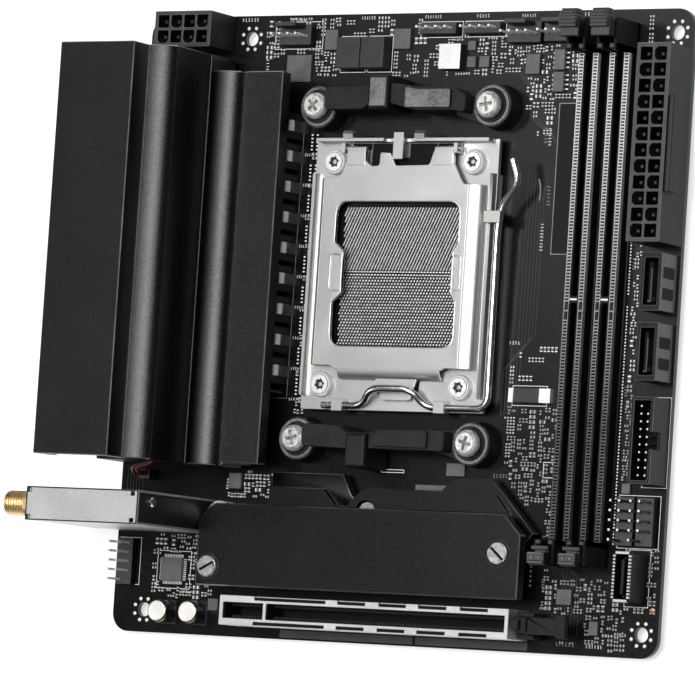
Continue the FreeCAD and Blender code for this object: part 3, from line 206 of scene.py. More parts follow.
def graded(name, y0, y1, dark, light):
    """a grey that is paler towards the board's upper edge: painted sheen"""
    m, nt, b, tc = new_mat(name)
    sep = nt.nodes.new("ShaderNodeSeparateXYZ")
    nt.links.new(tc.outputs["Object"], sep.inputs[0])
    t = span_to(nt, sep.outputs[1], 0.0, 1.0, (y0 - 6.17) / 1000.0, (y1 - 6.17) / 1000.0)
    n = noise(nt, tc, 900.0, 2.0)
    mx = nt.nodes.new("ShaderNodeMath")
    mx.operation = "MULTIPLY_ADD"
    nt.links.new(n, mx.inputs[0])
    mx.inputs[1].default_value = 0.25
    nt.links.new(t, mx.inputs[2])
    nt.links.new(ramp(nt, mx.outputs[0], [(0.1, dark), (1.0, light)]), b.inputs["Base Color"])
    nt.links.new(span_to(nt, n, 0.35, 0.5), b.inputs["Roughness"])
    return m


# the memory slot ribs grade from near black to pale grey up the board: painted sheen
M["ladder"] = graded("slot_rib_painted_sheen", 60.0, 150.0, (0.055, 0.055, 0.055), (0.62, 0.62, 0.62))

NODE_MAT = {
 "pcb": "pcb", "backplate": "paint", "backplate_insulator": "film", "backplate_posts": "bright", "socket_body": "plastic", "socket_contacts": "ic",
 "socket_frame": "steel", "load_plate": "steel", "load_lever": "bright", "socket_screws": "bright", "cooler_bracket_upper": "plastic_rough",
 "cooler_bracket_lower": "plastic_rough", "bracket_screws": "zinc", "rear_heatsink": "anod", "vrm_mosfets": "ic", "heatsink_screws": "bright",
 "m2_heatsink": "anod", "thermal_pads": "pad", "m2_screws": "bright", "m2_standoffs": "bright", "chipset_heatsink": "anod", "chipset": "ic",
 "pcie_shield": "shield", "pcie_slot": "plastic", "pcie_latch": "plastic", "dimm_slot_a": "plastic", "dimm_slot_b": "plastic",
 "dimm_latch_a_upper": "plastic", "dimm_latch_a_lower": "plastic", "dimm_latch_b_upper": "plastic", "dimm_latch_b_lower": "plastic",
 "slot_contacts": "slot_contact_shade", "atx_power_header": "plastic", "eps_power_header": "plastic", "sata_ports": "plastic", "usb3_header": "plastic",
 "usbc_header": "steel", "fan_headers": "plastic", "connector_pins": "pin", "audio_capacitors": "sleeve", "power_chokes": "ferrite",
 "ic_packages": "ic", "component_leads": "bright", "wifi_bracket": "shield", "wifi_end_cap": "plastic_rough", "wifi_card": "shield",
 "m2_sockets": "plastic", "antenna_jacks": "gold", "audio_jacks": "plastic", "lan_usb_stack": "steel", "usb_stack": "steel", "usbc_stack": "steel",
 "display_stack": "steel", "port_tongues": "blue", "cmos_battery": "film", "pin_headers": "plastic", "battery_lead": "red", "solder_joints": "solder",
}


# ------------------------------------------------------------------ meshes
def finish_piece(o, body, cover=()):
    scene.collection.objects.link(o)
    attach(o, body)
    if cover:
        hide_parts(*cover)
    return o


OCC = []


def islands(bm):
    """the box of each separate solid, in board millimetres"""
    bm.verts.ensure_lookup_table()
    seen = set()
    for v in bm.verts:
        if v.index in seen:
            continue
        st, co = [v], []
        seen.add(v.index)
        while st:
            q = st.pop()
            co.append(q.co)
            for e in q.link_edges:
                w = e.other_vert(q)
                if w.index not in seen:
                    seen.add(w.index)
                    st.append(w)
        lo = [min(c[i] for c in co) * 1000 for i in range(3)]
        hi = [max(c[i] for c in co) * 1000 for i in range(3)]
        if lo[2] - 1.6 < 3.0 and hi[2] - 1.6 > 0.2:
            OCC.append((lo[0] + 10.16, hi[0] + 10.16, lo[1] + 6.17, hi[1] + 6.17))


def skin(node, mats, width=0.15, seg=2, angle=32.0, pick=None, merge=1e-6, clamp=False, show=True, demote=None):
    """the CAD node's own shape with its sharp edges broken, as the moulded or machined piece has"""
    src = frame["nodes"][node]
    bm = bmesh.new()
    bm.from_mesh(src.data)
    bmesh.ops.remove_doubles(bm, verts=bm.verts, dist=merge)
    bmesh.ops.dissolve_limit(bm, angle_limit=math.radians(0.6), verts=bm.verts, edges=bm.edges)
    bm.verts.index_update()
    islands(bm)
    if not show:
        bm.free()
        return None
    bm.normal_update()
    if width > 0:
        es = [e for e in bm.edges if len(e.link_faces) == 2 and e.calc_face_angle(0.0) > math.radians(angle)]
        bmesh.ops.bevel(bm, geom=es, offset=width / 1000.0, offset_type="OFFSET", segments=seg, profile=0.6, affect="EDGES", clamp_overlap=clamp,
                        material=(1 if len(mats) > 1 and pick is None else -1))
    bmesh.ops.remove_doubles(bm, verts=bm.verts, dist=5e-7)
    bm.normal_update()
    for f in bm.faces:
        f.smooth = True
        if pick is not None:
            f.material_index = pick(f.normal, f.calc_center_median(), f.calc_area())
        elif demote is not None and f.material_index == 1 and demote(f.calc_center_median()):
            f.material_index = 0
    me = bpy.data.meshes.new(node + "_mesh")
    bm.to_mesh(me)
    bm.free()
    me.set_sharp_from_angle(angle=math.radians(26.0))
    for k in mats:
        me.materials.append(M[k])
    o = bpy.data.objects.new(node + "_body", me)
    return finish_piece(o, BODY_OF[node], (node,))


class Build:
    """collects closed solids in board millimetres into one mesh with several materials"""

    def __init__(self):
        self.v, self.f, self.m = [], [], []

    def add(self, vs, fs, mi):
        k = len(self.v)
        self.v += vs
        self.f += [tuple(i + k for i in f) for f in fs]
        self.m += [mi] * len(fs)

    def box(self, x, y, z, mi=0, c=0.0, top=None, rot=0.0):
        """x, y, z are (low, high); c is the chamfer round the top; top is the material of the top face; rot turns it about its centre"""
        (x0, x1), (y0, y1), (z0, z1) = x, y, z
        vs = [(x0, y0, z0), (x1, y0, z0), (x1, y1, z0), (x0, y1, z0)]
        if c > 0:
            c = min(c, (x1 - x0) * 0.4, (y1 - y0) * 0.4, (z1 - z0) * 0.8)
            vs += [(x0, y0, z1 - c), (x1, y0, z1 - c), (x1, y1, z1 - c), (x0, y1, z1 - c)]
            vs += [(x0 + c, y0 + c, z1), (x1 - c, y0 + c, z1), (x1 - c, y1 - c, z1), (x0 + c, y1 - c, z1)]
            fs = [(3, 2, 1, 0), (8, 9, 10, 11)]
            for a in range(4):
                b = (a + 1) % 4
                fs += [(a, b, b + 4, a + 4), (a + 4, b + 4, b + 8, a + 8)]
        else:
            vs += [(x0, y0, z1), (x1, y0, z1), (x1, y1, z1), (x0, y1, z1)]
            fs = [(3, 2, 1, 0), (4, 5, 6, 7), (0, 1, 5, 4), (1, 2, 6, 5), (2, 3, 7, 6), (3, 0, 4, 7)]
        if rot:
            cx, cy = (x0 + x1) / 2, (y0 + y1) / 2
            ca, sa = math.cos(rot), math.sin(rot)
            vs = [(cx + (p[0] - cx) * ca - (p[1] - cy) * sa, cy + (p[0] - cx) * sa + (p[1] - cy) * ca, p[2]) for p in vs]
        k = len(self.f)
        self.add(vs, fs, mi)
        if top is not None:
            self.m[k + 1] = top

    def prism(self, pts, z0, z1, mi=0, top=None):
        n = len(pts)
        vs = [(p[0], p[1], z0) for p in pts] + [(p[0], p[1], z1) for p in pts]
        fs = [tuple(range(n - 1, -1, -1)), tuple(range(n, 2 * n))] + [(i, (i + 1) % n, n + (i + 1) % n, n + i) for i in range(n)]
        k = len(self.f)
        self.add(vs, fs, mi)
        if top is not None:
            self.m[k + 1] = top

    def sheet(self, outer, holes, z0, z1, mi=0, top=None):
        """a flat plate between z0 and z1 with rounded outline and windows"""
        def area2(lp):
            return sum(lp[i - 1][0] * lp[i][1] - lp[i][0] * lp[i - 1][1] for i in range(len(lp)))
        loops = [list(outer) if area2(outer) > 0 else list(outer)[::-1]]
        loops += [list(h) if area2(h) < 0 else list(h)[::-1] for h in holes]
        flat = [p for lp in loops for p in lp]
        n = len(flat)
        tris = tessellate_polygon([[Vector((p[0], p[1], 0.0)) for p in lp] for lp in loops])
        vs = [(p[0], p[1], z0) for p in flat] + [(p[0], p[1], z1) for p in flat]
        fs, ms = [], []
        for t in tris:
            p, q, r = flat[t[0]], flat[t[1]], flat[t[2]]
            ar = (q[0] - p[0]) * (r[1] - p[1]) - (r[0] - p[0]) * (q[1] - p[1])
            t = tuple(t) if ar > 0 else tuple(t)[::-1]
            fs += [tuple(i + n for i in t), t[::-1]]
            ms += [top if top is not None else mi, mi]
        k = 0
        for lp in loops:
            m = len(lp)
            for i in range(m):
                a, b = k + i, k + (i + 1) % m
                fs.append((a, b, b + n, a + n))
                ms.append(mi)
            k += m
        k = len(self.v)
        self.v += vs
        self.f += [tuple(i + k for i in f) for f in fs]
        self.m += ms

    def run(self, pts, a, b, axis="Y", mi=0):
        """a closed section (x, z) carried along Y, or (y, z) carried along X"""
        n = len(pts)
        w = (lambda p, t: (p[0], t, p[1])) if axis == "Y" else (lambda p, t: (t, p[0], p[1]))
        vs = [w(p, a) for p in pts] + [w(p, b) for p in pts]
        fs = [tuple(range(n)), tuple(range(2 * n - 1, n - 1, -1))] + [(i, n + i, n + (i + 1) % n, (i + 1) % n) for i in range(n)]
        self.add(vs, fs, mi)

    def lathe(self, cx, cy, prof, mi=0, n=24, mis=None, axis="Z", base=0.0):
        """prof is (radius, height) from the bottom up, closed at both ends"""
        vs, fs, ms = [], [], []
        rings = []
        for r, h in prof:
            if r <= 1e-6:
                rings.append([len(vs)])
                vs.append((0.0, 0.0, h))
            else:
                rings.append(list(range(len(vs), len(vs) + n)))
                vs += [(r * math.cos(2 * math.pi * i / n), r * math.sin(2 * math.pi * i / n), h) for i in range(n)]
        for j in range(len(rings) - 1):
            a, b = rings[j], rings[j + 1]
            mm = mis[j] if mis else mi
            for i in range(n):
                i2 = (i + 1) % n
                if len(a) == 1 and len(b) == 1:
                    continue
                if len(a) == 1:
                    fs.append((a[0], b[i2], b[i]))
                elif len(b) == 1:
                    fs.append((a[i], a[i2], b[0]))
                else:
                    fs.append((a[i], a[i2], b[i2], b[i]))
                ms.append(mm)
        for ring, flip in ((rings[0], True), (rings[-1], False)):
            if len(ring) > 1:
                fs.append(tuple(reversed(ring)) if flip else tuple(ring))
                ms.append(mis[0] if (mis and flip) else (mis[-1] if mis else mi))
        out = []
        for x, y, z in vs:
            if axis == "Z":
                out.append((cx + x, cy + y, base + z))
            elif axis == "X":
                out.append((base + z, cx + x, cy + y))
            else:
                out.append((cx + x, base + z, cy - y))
        k = len(self.v)
        self.v += out
        self.f += [tuple(i + k for i in f) for f in fs]
        self.m += ms

    def make(self, name, mats, body="board", slot=None, cover=(), smooth=None, bevel=0.0, seg=1, fix=False):
        me = bpy.data.meshes.new(name + "_mesh")
        me.from_pydata([P(*v) for v in self.v], [], self.f)
        for k in mats:
            me.materials.append(M[k])
        me.polygons.foreach_set("material_index", self.m)
        if bevel or fix:
            bm = bmesh.new()
            bm.from_mesh(me)
            if fix:
                bmesh.ops.recalc_face_normals(bm, faces=bm.faces)
            if bevel:
                es = [e for e in bm.edges if len(e.link_faces) == 2 and e.calc_face_angle(0.0) > math.radians(38.0)]
                bmesh.ops.bevel(bm, geom=es, offset=bevel / 1000.0, offset_type="OFFSET", segments=seg, profile=0.6, affect="EDGES", clamp_overlap=False)
            bm.to_mesh(me)
            bm.free()
        if smooth:
            me.polygons.foreach_set("use_smooth", [True] * len(me.polygons))
            me.set_sharp_from_angle(angle=math.radians(smooth))
        me.update()
        o = bpy.data.objects.new(name, me)
        if smooth:
            wn = o.modifiers.new("face_weighted", "WEIGHTED_NORMAL")
            wn.keep_sharp = True
            wn.weight = 100
        return finish_piece(o, body, cover)


# ------------------------------------------------------------------ pieces with the CAD's own shape
def rnd(poly, r=1.0, n=4):
    """a polygon with its corners rounded; a point may carry its own radius as a third number"""
    out, N = [], len(poly)
    for i, p in enumerate(poly):
        rr = p[2] if len(p) > 2 else r
        a, b, c = Vector(poly[i - 1][:2]), Vector(p[:2]), Vector(poly[(i + 1) % N][:2])
        u, w = a - b, c - b
        lu, lw = u.length, w.length
        u, w = u / lu, w / lw
        ang = math.acos(max(-1.0, min(1.0, u.dot(w))))
        if rr <= 0 or ang > math.pi - 0.03:
            out.append((b.x, b.y))
            continue
        t = min(rr / math.tan(ang / 2), lu * 0.48, lw * 0.48)
        p1, p2 = b + u * t, b + w * t
        for k in range(n + 1):
            f = k / n
            q = p1 * (1 - f) ** 2 + b * 2 * f * (1 - f) + p2 * f * f
            out.append((q.x, q.y))
    return out


def rect(x0, x1, y0, y1, r=0.8, n=3):
    return rnd([(x0, y0), (x1, y0), (x1, y1), (x0, y1)], r, n)


def ring(cx, cy, r, n=24):
    return [(cx + r * math.cos(2 * math.pi * i / n), cy + r * math.sin(2 * math.pi * i / n)) for i in range(n)]


def Z(z):
    return (z + 1.6) / 1000.0


def X(x):
    return (x - 10.16) / 1000.0


def hoop(B, cx, cy, sec, n=32, axis="Z", base=0.0, mis=None, mi=0):
    """a closed ring with the section (radius, height)"""
    m, k = len(sec), len(B.v)
    for i in range(n):
        t = 2 * math.pi * i / n
        for r, h in sec:
            p, q = cx + r * math.cos(t), cy + r * math.sin(t)
            B.v.append((p, q, base + h) if axis == "Z" else (base + h, p, q))
    for i in range(n):
        for j in range(m):
            a, b = k + i * m + j, k + i * m + (j + 1) % m
            c, d = k + ((i + 1) % n) * m + (j + 1) % m, k + ((i + 1) % n) * m + j
            B.f.append((a, b, c, d))
            B.m.append(mis[j] if mis else mi)


def well_pick(box, zt, zb):
    """faces inside a hollow (board mm box) take material 2, painted shade in the recess; the flat rim takes 3, a
    painted sheen, and its bevelled edge 1, a painted highlight
    """
    x0, x1, y0, y1 = box
    def f(n, c, a):
        x, y, z = c.x * 1000 + 10.16, c.y * 1000 + 6.17, c.z * 1000 - 1.6
        if x0 < x < x1 and y0 < y < y1 and z < zt - 0.15:
            return 2
        if n.z > 0.95 and z > zt - 0.4:
            return 3
        if n.z > 0.3 and z > zt - 0.4:
            return 1
        return 0
    return f


# upward faces above zt take material 1, a lighter grey: painted sheen on the tops
def top_pick(zt):
    def f(n, c, a):
        return 1 if n.z > 0.3 and c.z > Z(zt) else 0
    return f


def tongue_pick(n, c, a):
    return 1 if c.x > X(150.0) else 0


# pins down inside the power headers, and the non-upward faces of pins at the lower right, take the dark pin material:
# painted shade
def pin_pick(n, c, a):
    x, y, z = c.x * 1000 + 10.16, c.y * 1000 + 6.17, c.z * 1000 - 1.6
    if (x > 160.0 and 106.0 < y < 160.0) or (x < 30.0 and y > 158.0):
        return 1
    if x > 155.0 and y < 70.0 and n.z < 0.5:
        return 1
    return 0


SPECIAL = {"rear_heatsink", "m2_heatsink", "chipset_heatsink", "solder_joints", "pcb", "load_plate", "socket_contacts", "dimm_slot_a", "dimm_slot_b",
           "audio_capacitors", "usbc_header", "socket_screws", "bracket_screws", "m2_screws", "cooler_bracket_upper", "cooler_bracket_lower"}
for node in frame["nodes"]:
    # bevelled heatsink edges take the pale edge material, a painted highlight; demote keeps a few of them in the base
    # colour
    if node in ("rear_heatsink", "m2_heatsink", "chipset_heatsink"):
        skin(node, ["anod" if node[0] == "r" else "anod_low", "anod_edge_highlight"], width={"rear_heatsink": 0.24, "m2_heatsink": 0.30, "chipset_heatsink": 0.16}[node], seg=1,
             demote=lambda c: abs(c.x - X(29.7)) < 0.0008 or (X(38.4) < c.x < X(39.5) and Z(12.0) < c.z < Z(14.6)))
    elif node in ("solder_joints", "pcb"):
        frame["nodes"][node].data.materials.clear()
        frame["nodes"][node].data.materials.append(M[NODE_MAT[node]])
    elif node in ("atx_power_header", "eps_power_header"):
        cell = (161.2, 169.3, 108.2, 158.4) if node[0] == "a" else (9.9, 26.8, 160.6, 169.2)
        skin(node, ["plastic", "rim", "plastic_black_and_shade", "painted_sheen"], width=0.17, seg=1, pick=well_pick(cell, 12.8, 3.0))
    elif node == "sata_ports":
        # the outer +X wall of the data ports takes the lighter grey: painted sheen; the hollows and rims follow
        # well_pick
        ports = well_pick((163.9, 168.6, 71.0, 106.0), 8.8, 1.0)
        skin(node, ["plastic", "rim", "plastic_black_and_shade", "plastic", "painted_sheen"], width=0.14, seg=1, pick=lambda n, c, a: 4 if n.x > 0.9 and c.x > X(168.9) else ports(n, c, a))
    elif node == "usb3_header":
        skin(node, ["plastic", "rim", "plastic_black_and_shade", "plastic"], width=0.14, seg=1, pick=well_pick((163.5, 169.0, 45.4, 66.8), 9.0, 1.0))
    elif node == "pcie_slot":
        skin(node, ["plastic_black_and_shade", "plastic"], width=0.10, seg=1, pick=lambda n, c, a: 1 if c.x > X(131.0) else 0)
    elif node == "port_tongues":
        skin(node, ["blue", "plastic"], width=0.08, seg=1, pick=tongue_pick)
    elif node == "connector_pins":
        skin(node, ["pin", "pin_shade"], width=0.08, seg=1, pick=pin_pick)
    elif node.startswith("dimm_latch"):
        skin(node, ["plastic", "painted_sheen"], width=0.14, seg=1, pick=top_pick(13.2))
    elif node in ("fan_headers", "pin_headers"):
        skin(node, ["plastic_black_and_shade" if node == "pin_headers" else "plastic", "painted_sheen"], width=0.12, seg=1, pick=top_pick(1.5))
    elif node == "power_chokes":
        skin(node, ["ferrite", "cap"], width=0.15, seg=2, pick=lambda n, c, a: 1 if (X(94.0) < c.x < X(101.6) and 0.1478 < c.y < 0.156 and n.z > 0.2) else 0)
    elif node == "component_leads":
        # choke leads between x 50 and 54 take darker metal and ferrite black: painted shade under the heatsink
        # overhang
        skin(node, ["solder", "tab", "ferrite"], width=0.05, seg=1, pick=lambda n, c, a: 0 if c.x > X(54.0) or c.x < X(50.0) or c.y < 0.055 else (2 if c.x > X(51.3) else 1))
    elif node == "ic_packages":
        skin(node, ["ic"], width=0.06, seg=1)
    elif node in SPECIAL:
        skin(node, [NODE_MAT[node]], show=False)
    else:
        skin(node, [NODE_MAT[node]], width=0.10, seg=1, clamp=node in ("load_lever", "battery_lead", "antenna_jacks", "wifi_bracket"))

# ------------------------------------------------------------------ the socket
# load plate: a pressed cover with rolled edges, a rounded window, two finger rims and its hinge ears
B = Build()
PZ0, PZ1 = 5.05, 6.15
outer = rnd([(63.4, 74.1, 0.6), (68.4, 74.0, 1.2), (70.4, 73.0, 1.0), (103.0, 73.0, 1.0), (104.3, 73.8, 1.2), (108.4, 73.7, 0), (108.4, 122.9, 0),
             (106.3, 123.1, 1.6), (103.2, 128.6, 1.2), (103.2, 132.0, 0.8), (97.0, 132.0, 0.8), (95.8, 128.1, 1.2), (85.3, 127.9, 0.8), (83.4, 131.3, 0.5),
             (80.3, 131.5, 0.5), (80.2, 127.9, 0.8), (77.8, 127.8, 0.8), (75.9, 129.0, 0.8), (75.6, 132.0, 0.8), (70.0, 132.0, 0.8), (69.9, 129.8, 1.0), (68.2, 124.7, 1.6), (63.4, 125.0, 0.4)])
window = rnd([(67.7, 118.2, 3.6), (67.7, 107.2, 1.4), (70.7, 104.5, 1.0), (70.7, 93.7, 1.0), (67.9, 91.0, 1.4), (68.0, 79.3, 3.6), (106.3, 79.3, 3.6),
              (106.2, 91.4, 1.4), (104.7, 94.0, 1.0), (104.7, 104.5, 1.0), (106.2, 107.2, 1.4), (106.1, 118.2, 3.6)], 1.0, 6)
B.sheet(outer, [window], PZ0, PZ1)


def roll(x, sx, rx, rz, z0, t):
    """a quarter round edge from a flat top at x, turning down, and the same curve inside it"""
    o = [(x + sx * rx * math.sin(math.radians(a)), z0 + rz * math.cos(math.radians(a))) for a in range(0, 91, 9)]
    i = [(x + sx * (rx - t) * math.sin(math.radians(a)), z0 + (rz - t) * math.cos(math.radians(a))) for a in range(90, -1, -9)]
    return o + i


B.run(roll(108.4, 1, 4.3, 2.65, 3.5, 1.0), 73.7, 122.9, "Y")
B.run(roll(63.4, -1, 1.7, 2.45, 3.7, 0.9), 74.1, 124.6, "Y")
B.run(roll(73.1, -1, 2.7, 2.35, 3.8, 0.9), 70.9, 102.6, "X")
B.sheet(rnd([(82.0, 71.6), (95.6, 71.6), (93.4, 65.0), (84.6, 65.0)], 1.0), [], 4.0, 4.9)
for x0, x1, y0, y1 in ((66.5, 70.7, 93.9, 104.3), (104.7, 107.7, 94.3, 104.2)):
    B.sheet(rect(x0, x1, y0, y1, 1.4), [rect(x0 + 0.55, x1 - 0.45, y0 + 0.5, y1 - 0.5, 1.0)], PZ1 - 0.3, PZ1 + 0.35)
# black sheets under the cover's upper edge, built below, are painted shade where the frame is open
# pressed rim round the window
wo = [(86.9 + (x - 86.9) * 1.018, 98.8 + (y - 98.8) * 1.018) for x, y in window]
B.sheet(wo, [window], PZ0 + 0.1, PZ1 + 0.10)
for x in (68.3, 100.7):
    B.lathe(132.6, 5.4, [(0.0, 0.0), (0.78, 0.0), (0.78, 4.3), (0.0, 4.3)], axis="X", base=x, n=16)
for x in (70.0, 97.2):
    B.run([(128.0, 5.1), (128.0, 6.4), (131.2, 6.42), (132.9, 6.2), (133.2, 5.5), (132.2, 4.9)], x, x + 5.8, "X")
B.make("load_plate_cover", ["steel"], "load_plate", SLOT_OF["load_plate"], ("load_plate",), smooth=34, bevel=0.16, seg=2, fix=True)

# near-black sheets on the frame base between its horns and under the tongue: painted shade seen through the frame's
# openings
B = Build()
B.sheet(rnd([(76.2, 125.6), (96.4, 125.6), (96.4, 134.2), (88.0, 134.2), (88.0, 130.4), (84.0, 130.4), (84.0, 134.2), (76.2, 134.2)], 0.4), [], 3.3, 3.42)
B.sheet([(70.0, 132.5), (76.0, 132.5), (76.0, 134.2), (70.0, 134.2)], [], 3.3, 3.42)
B.sheet([(96.6, 132.5), (103.0, 132.5), (103.0, 134.2), (96.6, 134.2)], [], 3.3, 3.42)
B.sheet(rnd([(82.6, 66.6), (95.0, 66.6), (95.6, 70.9), (82.0, 70.9)], 0.5), [], 3.3, 3.42)
B.make("socket_frame_gap_shade", ["plastic_black_and_shade"], "board", SLOT_OF["socket_frame"])
B = Build()                                                # two small hooks behind the frame's rear wall
for x in (68.8, 91.2):
    B.run([(135.1, 5.6), (135.1, 6.9), (136.4, 7.3), (137.3, 6.7), (137.4, 5.4), (136.9, 5.4), (136.7, 6.3), (136.1, 6.7), (135.7, 5.9)], x, x + 3.0, "X")
B.make("socket_frame_hooks", ["steel"], "board", SLOT_OF["socket_frame"], smooth=34, fix=True)

# contact field: rows of small slanted blades on a dark carrier; the carrier takes the near-black plastic, painted
# shade under the blades
B = Build()
B.box((67.7, 105.9), (79.6, 117.4), (2.3, 2.36), 0)
yy = 80.2
row = 0
while yy < 117.0:
    up = yy > 99.9
    mid = abs(yy - 99.2) < 0.6
    xx = 68.4 + (row % 2) * 0.0
    while xx < 105.6:
        sh = (0.46 * (yy - 80.0)) % 0.94
        x = xx + sh
        if x < 105.5:
            if mid:
                B.box((x - 0.30, x + 0.30), (yy - 0.16, yy + 0.16), (2.36, 2.62), 2, rot=0.0)
            elif up:
                B.box((x - 0.155, x + 0.155), (yy - 0.46, yy + 0.46), (2.36, 2.86), 1, c=0.05, rot=math.radians(-28))
            else:
                B.box((x - 0.20, x + 0.20), (yy - 0.27, yy + 0.27), (2.36, 2.74), 2 if (row + int(xx * 3)) % 3 else 1, c=0.05, rot=math.radians(-32))
        xx += 0.94
    yy += 0.81
    row += 1
B.make("socket_blades", ["plastic_black_and_shade", "contact", "pin"], "board", SLOT_OF["socket_contacts"], ("socket_contacts",))

# screws
def star(cx, cy, ro, ri, n=6):
    return [(cx + (ro if i % 2 == 0 else ri) * math.cos(math.pi * i / n + 0.2), cy + (ro if i % 2 == 0 else ri) * math.sin(math.pi * i / n + 0.2)) for i in range(2 * n)]


# the recess in each screw head and the small disc at its floor take the near-black pin metal: painted shade
B = Build()
for x in (65.1, 108.3):
    for y in (68.9, 129.1):
        B.lathe(x, y, [(3.35, 3.32), (3.42, 3.5), (3.42, 4.35), (3.25, 4.7), (2.95, 4.92), (2.72, 4.92), (2.66, 4.5), (0.0, 4.4)], mis=[0, 0, 0, 0, 0, 2, 2], n=32)
        B.lathe(x, y, [(1.4, -3.6), (1.4, 3.4)], mi=1, n=16)
        B.sheet(ring(x, y, 2.55, 28), [rnd(star(x, y, 1.75, 1.2), 0.3, 2)], 4.35, 5.05)
        B.lathe(x, y, [(1.9, 4.3), (1.9, 4.5)], mi=2, n=16)
        B.lathe(x, y, [(0.75, 4.45), (0.55, 4.62), (0.0, 4.66)], mi=1, n=12)
B.make("socket_screw_set", ["solder", "steel", "pin_shade"], "board", SLOT_OF["socket_screws"], ("socket_screws",), smooth=34, fix=True)


def plus(cx, cy, a, w, rot):
    p = [(a, -w), (a, w), (w, w), (w, a), (-w, a), (-w, w), (-a, w), (-a, -w), (-w, -w), (-w, -a), (w, -a), (w, -w)]
    ca, sa = math.cos(rot), math.sin(rot)
    return [(cx + x * ca - y * sa, cy + x * sa + y * ca) for x, y in p]


# the inner wall and floor of each cross recess take the darker metal: painted shade
B = Build()
for k, (x, y) in enumerate(((59.7, 54.0), (113.7, 54.0), (59.7, 144.0), (113.7, 144.0))):
    B.lathe(x, y, [(3.5, 6.6), (3.6, 6.8), (3.6, 7.9), (3.3, 8.5), (2.7, 8.85), (2.7, 8.3), (0.0, 8.3)], mis=[0, 0, 0, 0, 1, 1], n=32)
    B.sheet(ring(x, y, 2.72, 28), [plus(x, y, 1.9, 0.42, 0.3 + k)], 8.3, 9.1)
    B.lathe(x, y, [(1.45, -3.4), (1.45, 6.7)], mi=0, n=16)
B.make("bracket_screw_set", ["zinc", "tab"], "board", SLOT_OF["bracket_screws"], ("bracket_screws",), smooth=40, bevel=0.07, fix=True)

# the thin ring round each head and the disc under the slot take the near-black plastic: painted shade round the head
# and in the slot
B = Build()
for x, y, rt in ((37.1, 18.4, 0.5), (127.2, 25.2, -0.7)):
    B.lathe(x, y, [(2.85, 11.0), (2.9, 11.1), (2.9, 11.5), (2.7, 11.62)], n=32)
    ca, sa = math.cos(rt), math.sin(rt)
    for sg in (-1, 1):
        half = [(2.66 * math.cos(math.radians(t)), sg * 0.36 + sg * 2.30 * math.sin(math.radians(t))) for t in range(0, 181, 15)]
        B.sheet([(x + px * ca - py * sa, y + px * sa + py * ca) for px, py in half], [], 11.55, 12.0)
    B.lathe(x, y, [(1.4, 6.0), (1.4, 11.1)], n=16)
    B.sheet(ring(x, y, 3.5, 32), [ring(x, y, 2.98, 32)], 11.05, 11.16, 1)
    B.sheet(ring(x, y, 2.5, 28), [], 11.5, 11.66, 1)
B.make("m2_screw_set", ["screw_dull", "plastic_black_and_shade"], "board", SLOT_OF["m2_screws"], ("m2_screws",), smooth=34, bevel=0.05, fix=True)

# cooler brackets: shaped plastic beams with textured lugs; the screw-ring tops, and on the upper bracket the lug and
# clip tops, take a lighter grey: painted sheen
def bracket(name, pts, lug, tips, sg, yc, lm=1):
    B = Build()
    B.sheet(rnd(pts, 1.4, 4), [], 0.2, 10.9, 0)
    B.sheet(rnd(lug, 0.8, 3), [], 9.0, 11.6, 0, lm)
    lo, hi = (yc - 1.5, yc + 7.6) if sg > 0 else (yc - 7.6, yc + 1.5)
    B.box((78.9, 85.3), (lo, hi), (1.0, 12.6), 0, c=0.6, top=lm)
    for x in (59.7, 113.7):
        hoop(B, x, yc, [(2.2, 0.0), (6.1, 0.0), (6.2, 0.4), (6.1, 1.6), (5.85, 2.2), (5.8, 5.7), (5.6, 6.1), (4.5, 6.2), (4.1, 5.9), (2.2, 5.9)], n=44, mis=[0, 0, 0, 0, 0, 1, 1, 0, 0, 0])
    for a, b in tips:
        B.sheet(rnd(a, 1.0, 3), [], 1.0, b)
    B.make(name + "_beam", ["plastic_rough", "lug_top_sheen"], "board", SLOT_OF[name], (name,), smooth=30, bevel=0.18, fix=True)


bracket("cooler_bracket_upper",
        [(64.6, 142.5), (64.2, 148.6), (75.2, 148.5), (79.1, 149.3), (85.1, 149.7), (93.6, 148.5), (104.4, 148.4), (108.6, 146.2), (108.4, 141.4), (104.7, 142.2), (93.9, 142.2), (91.5, 142.5), (85.0, 144.2), (78.8, 144.2), (76.6, 142.6)],
        [(90.0, 142.8), (104.2, 142.7), (104.2, 147.9), (94.0, 147.9), (90.0, 148.6)],
        [([(103.0, 141.4), (109.0, 139.6), (112.9, 138.3), (114.6, 138.3), (114.6, 149.7), (112.0, 149.6), (108.4, 148.0), (103.0, 148.2)], 6.1),
         ([(58.8, 138.3), (60.6, 138.4), (65.6, 141.9), (65.6, 148.5), (60.6, 149.7), (58.8, 149.7)], 6.1)], 1, 144.0)
bracket("cooler_bracket_lower",
        [(64.3, 51.8), (64.0, 57.9), (75.6, 57.7), (78.2, 55.9), (84.7, 55.9), (90.0, 57.1), (103.8, 57.1), (108.6, 56.9), (108.4, 51.2), (104.2, 51.5), (84.5, 51.6), (78.5, 51.4)],
        [(86.5, 52.2), (103.6, 52.0), (103.6, 56.8), (90.4, 56.8), (86.5, 55.2)],
        [([(103.0, 51.4), (108.4, 50.2), (112.0, 48.4), (114.6, 48.3), (114.6, 59.7), (112.9, 59.7), (108.4, 57.6), (103.0, 57.6)], 6.1),
         ([(58.8, 48.3), (60.6, 48.3), (65.6, 51.6), (65.6, 57.9), (60.6, 59.7), (58.8, 59.7)], 6.1)], -1, 54.0, 0)

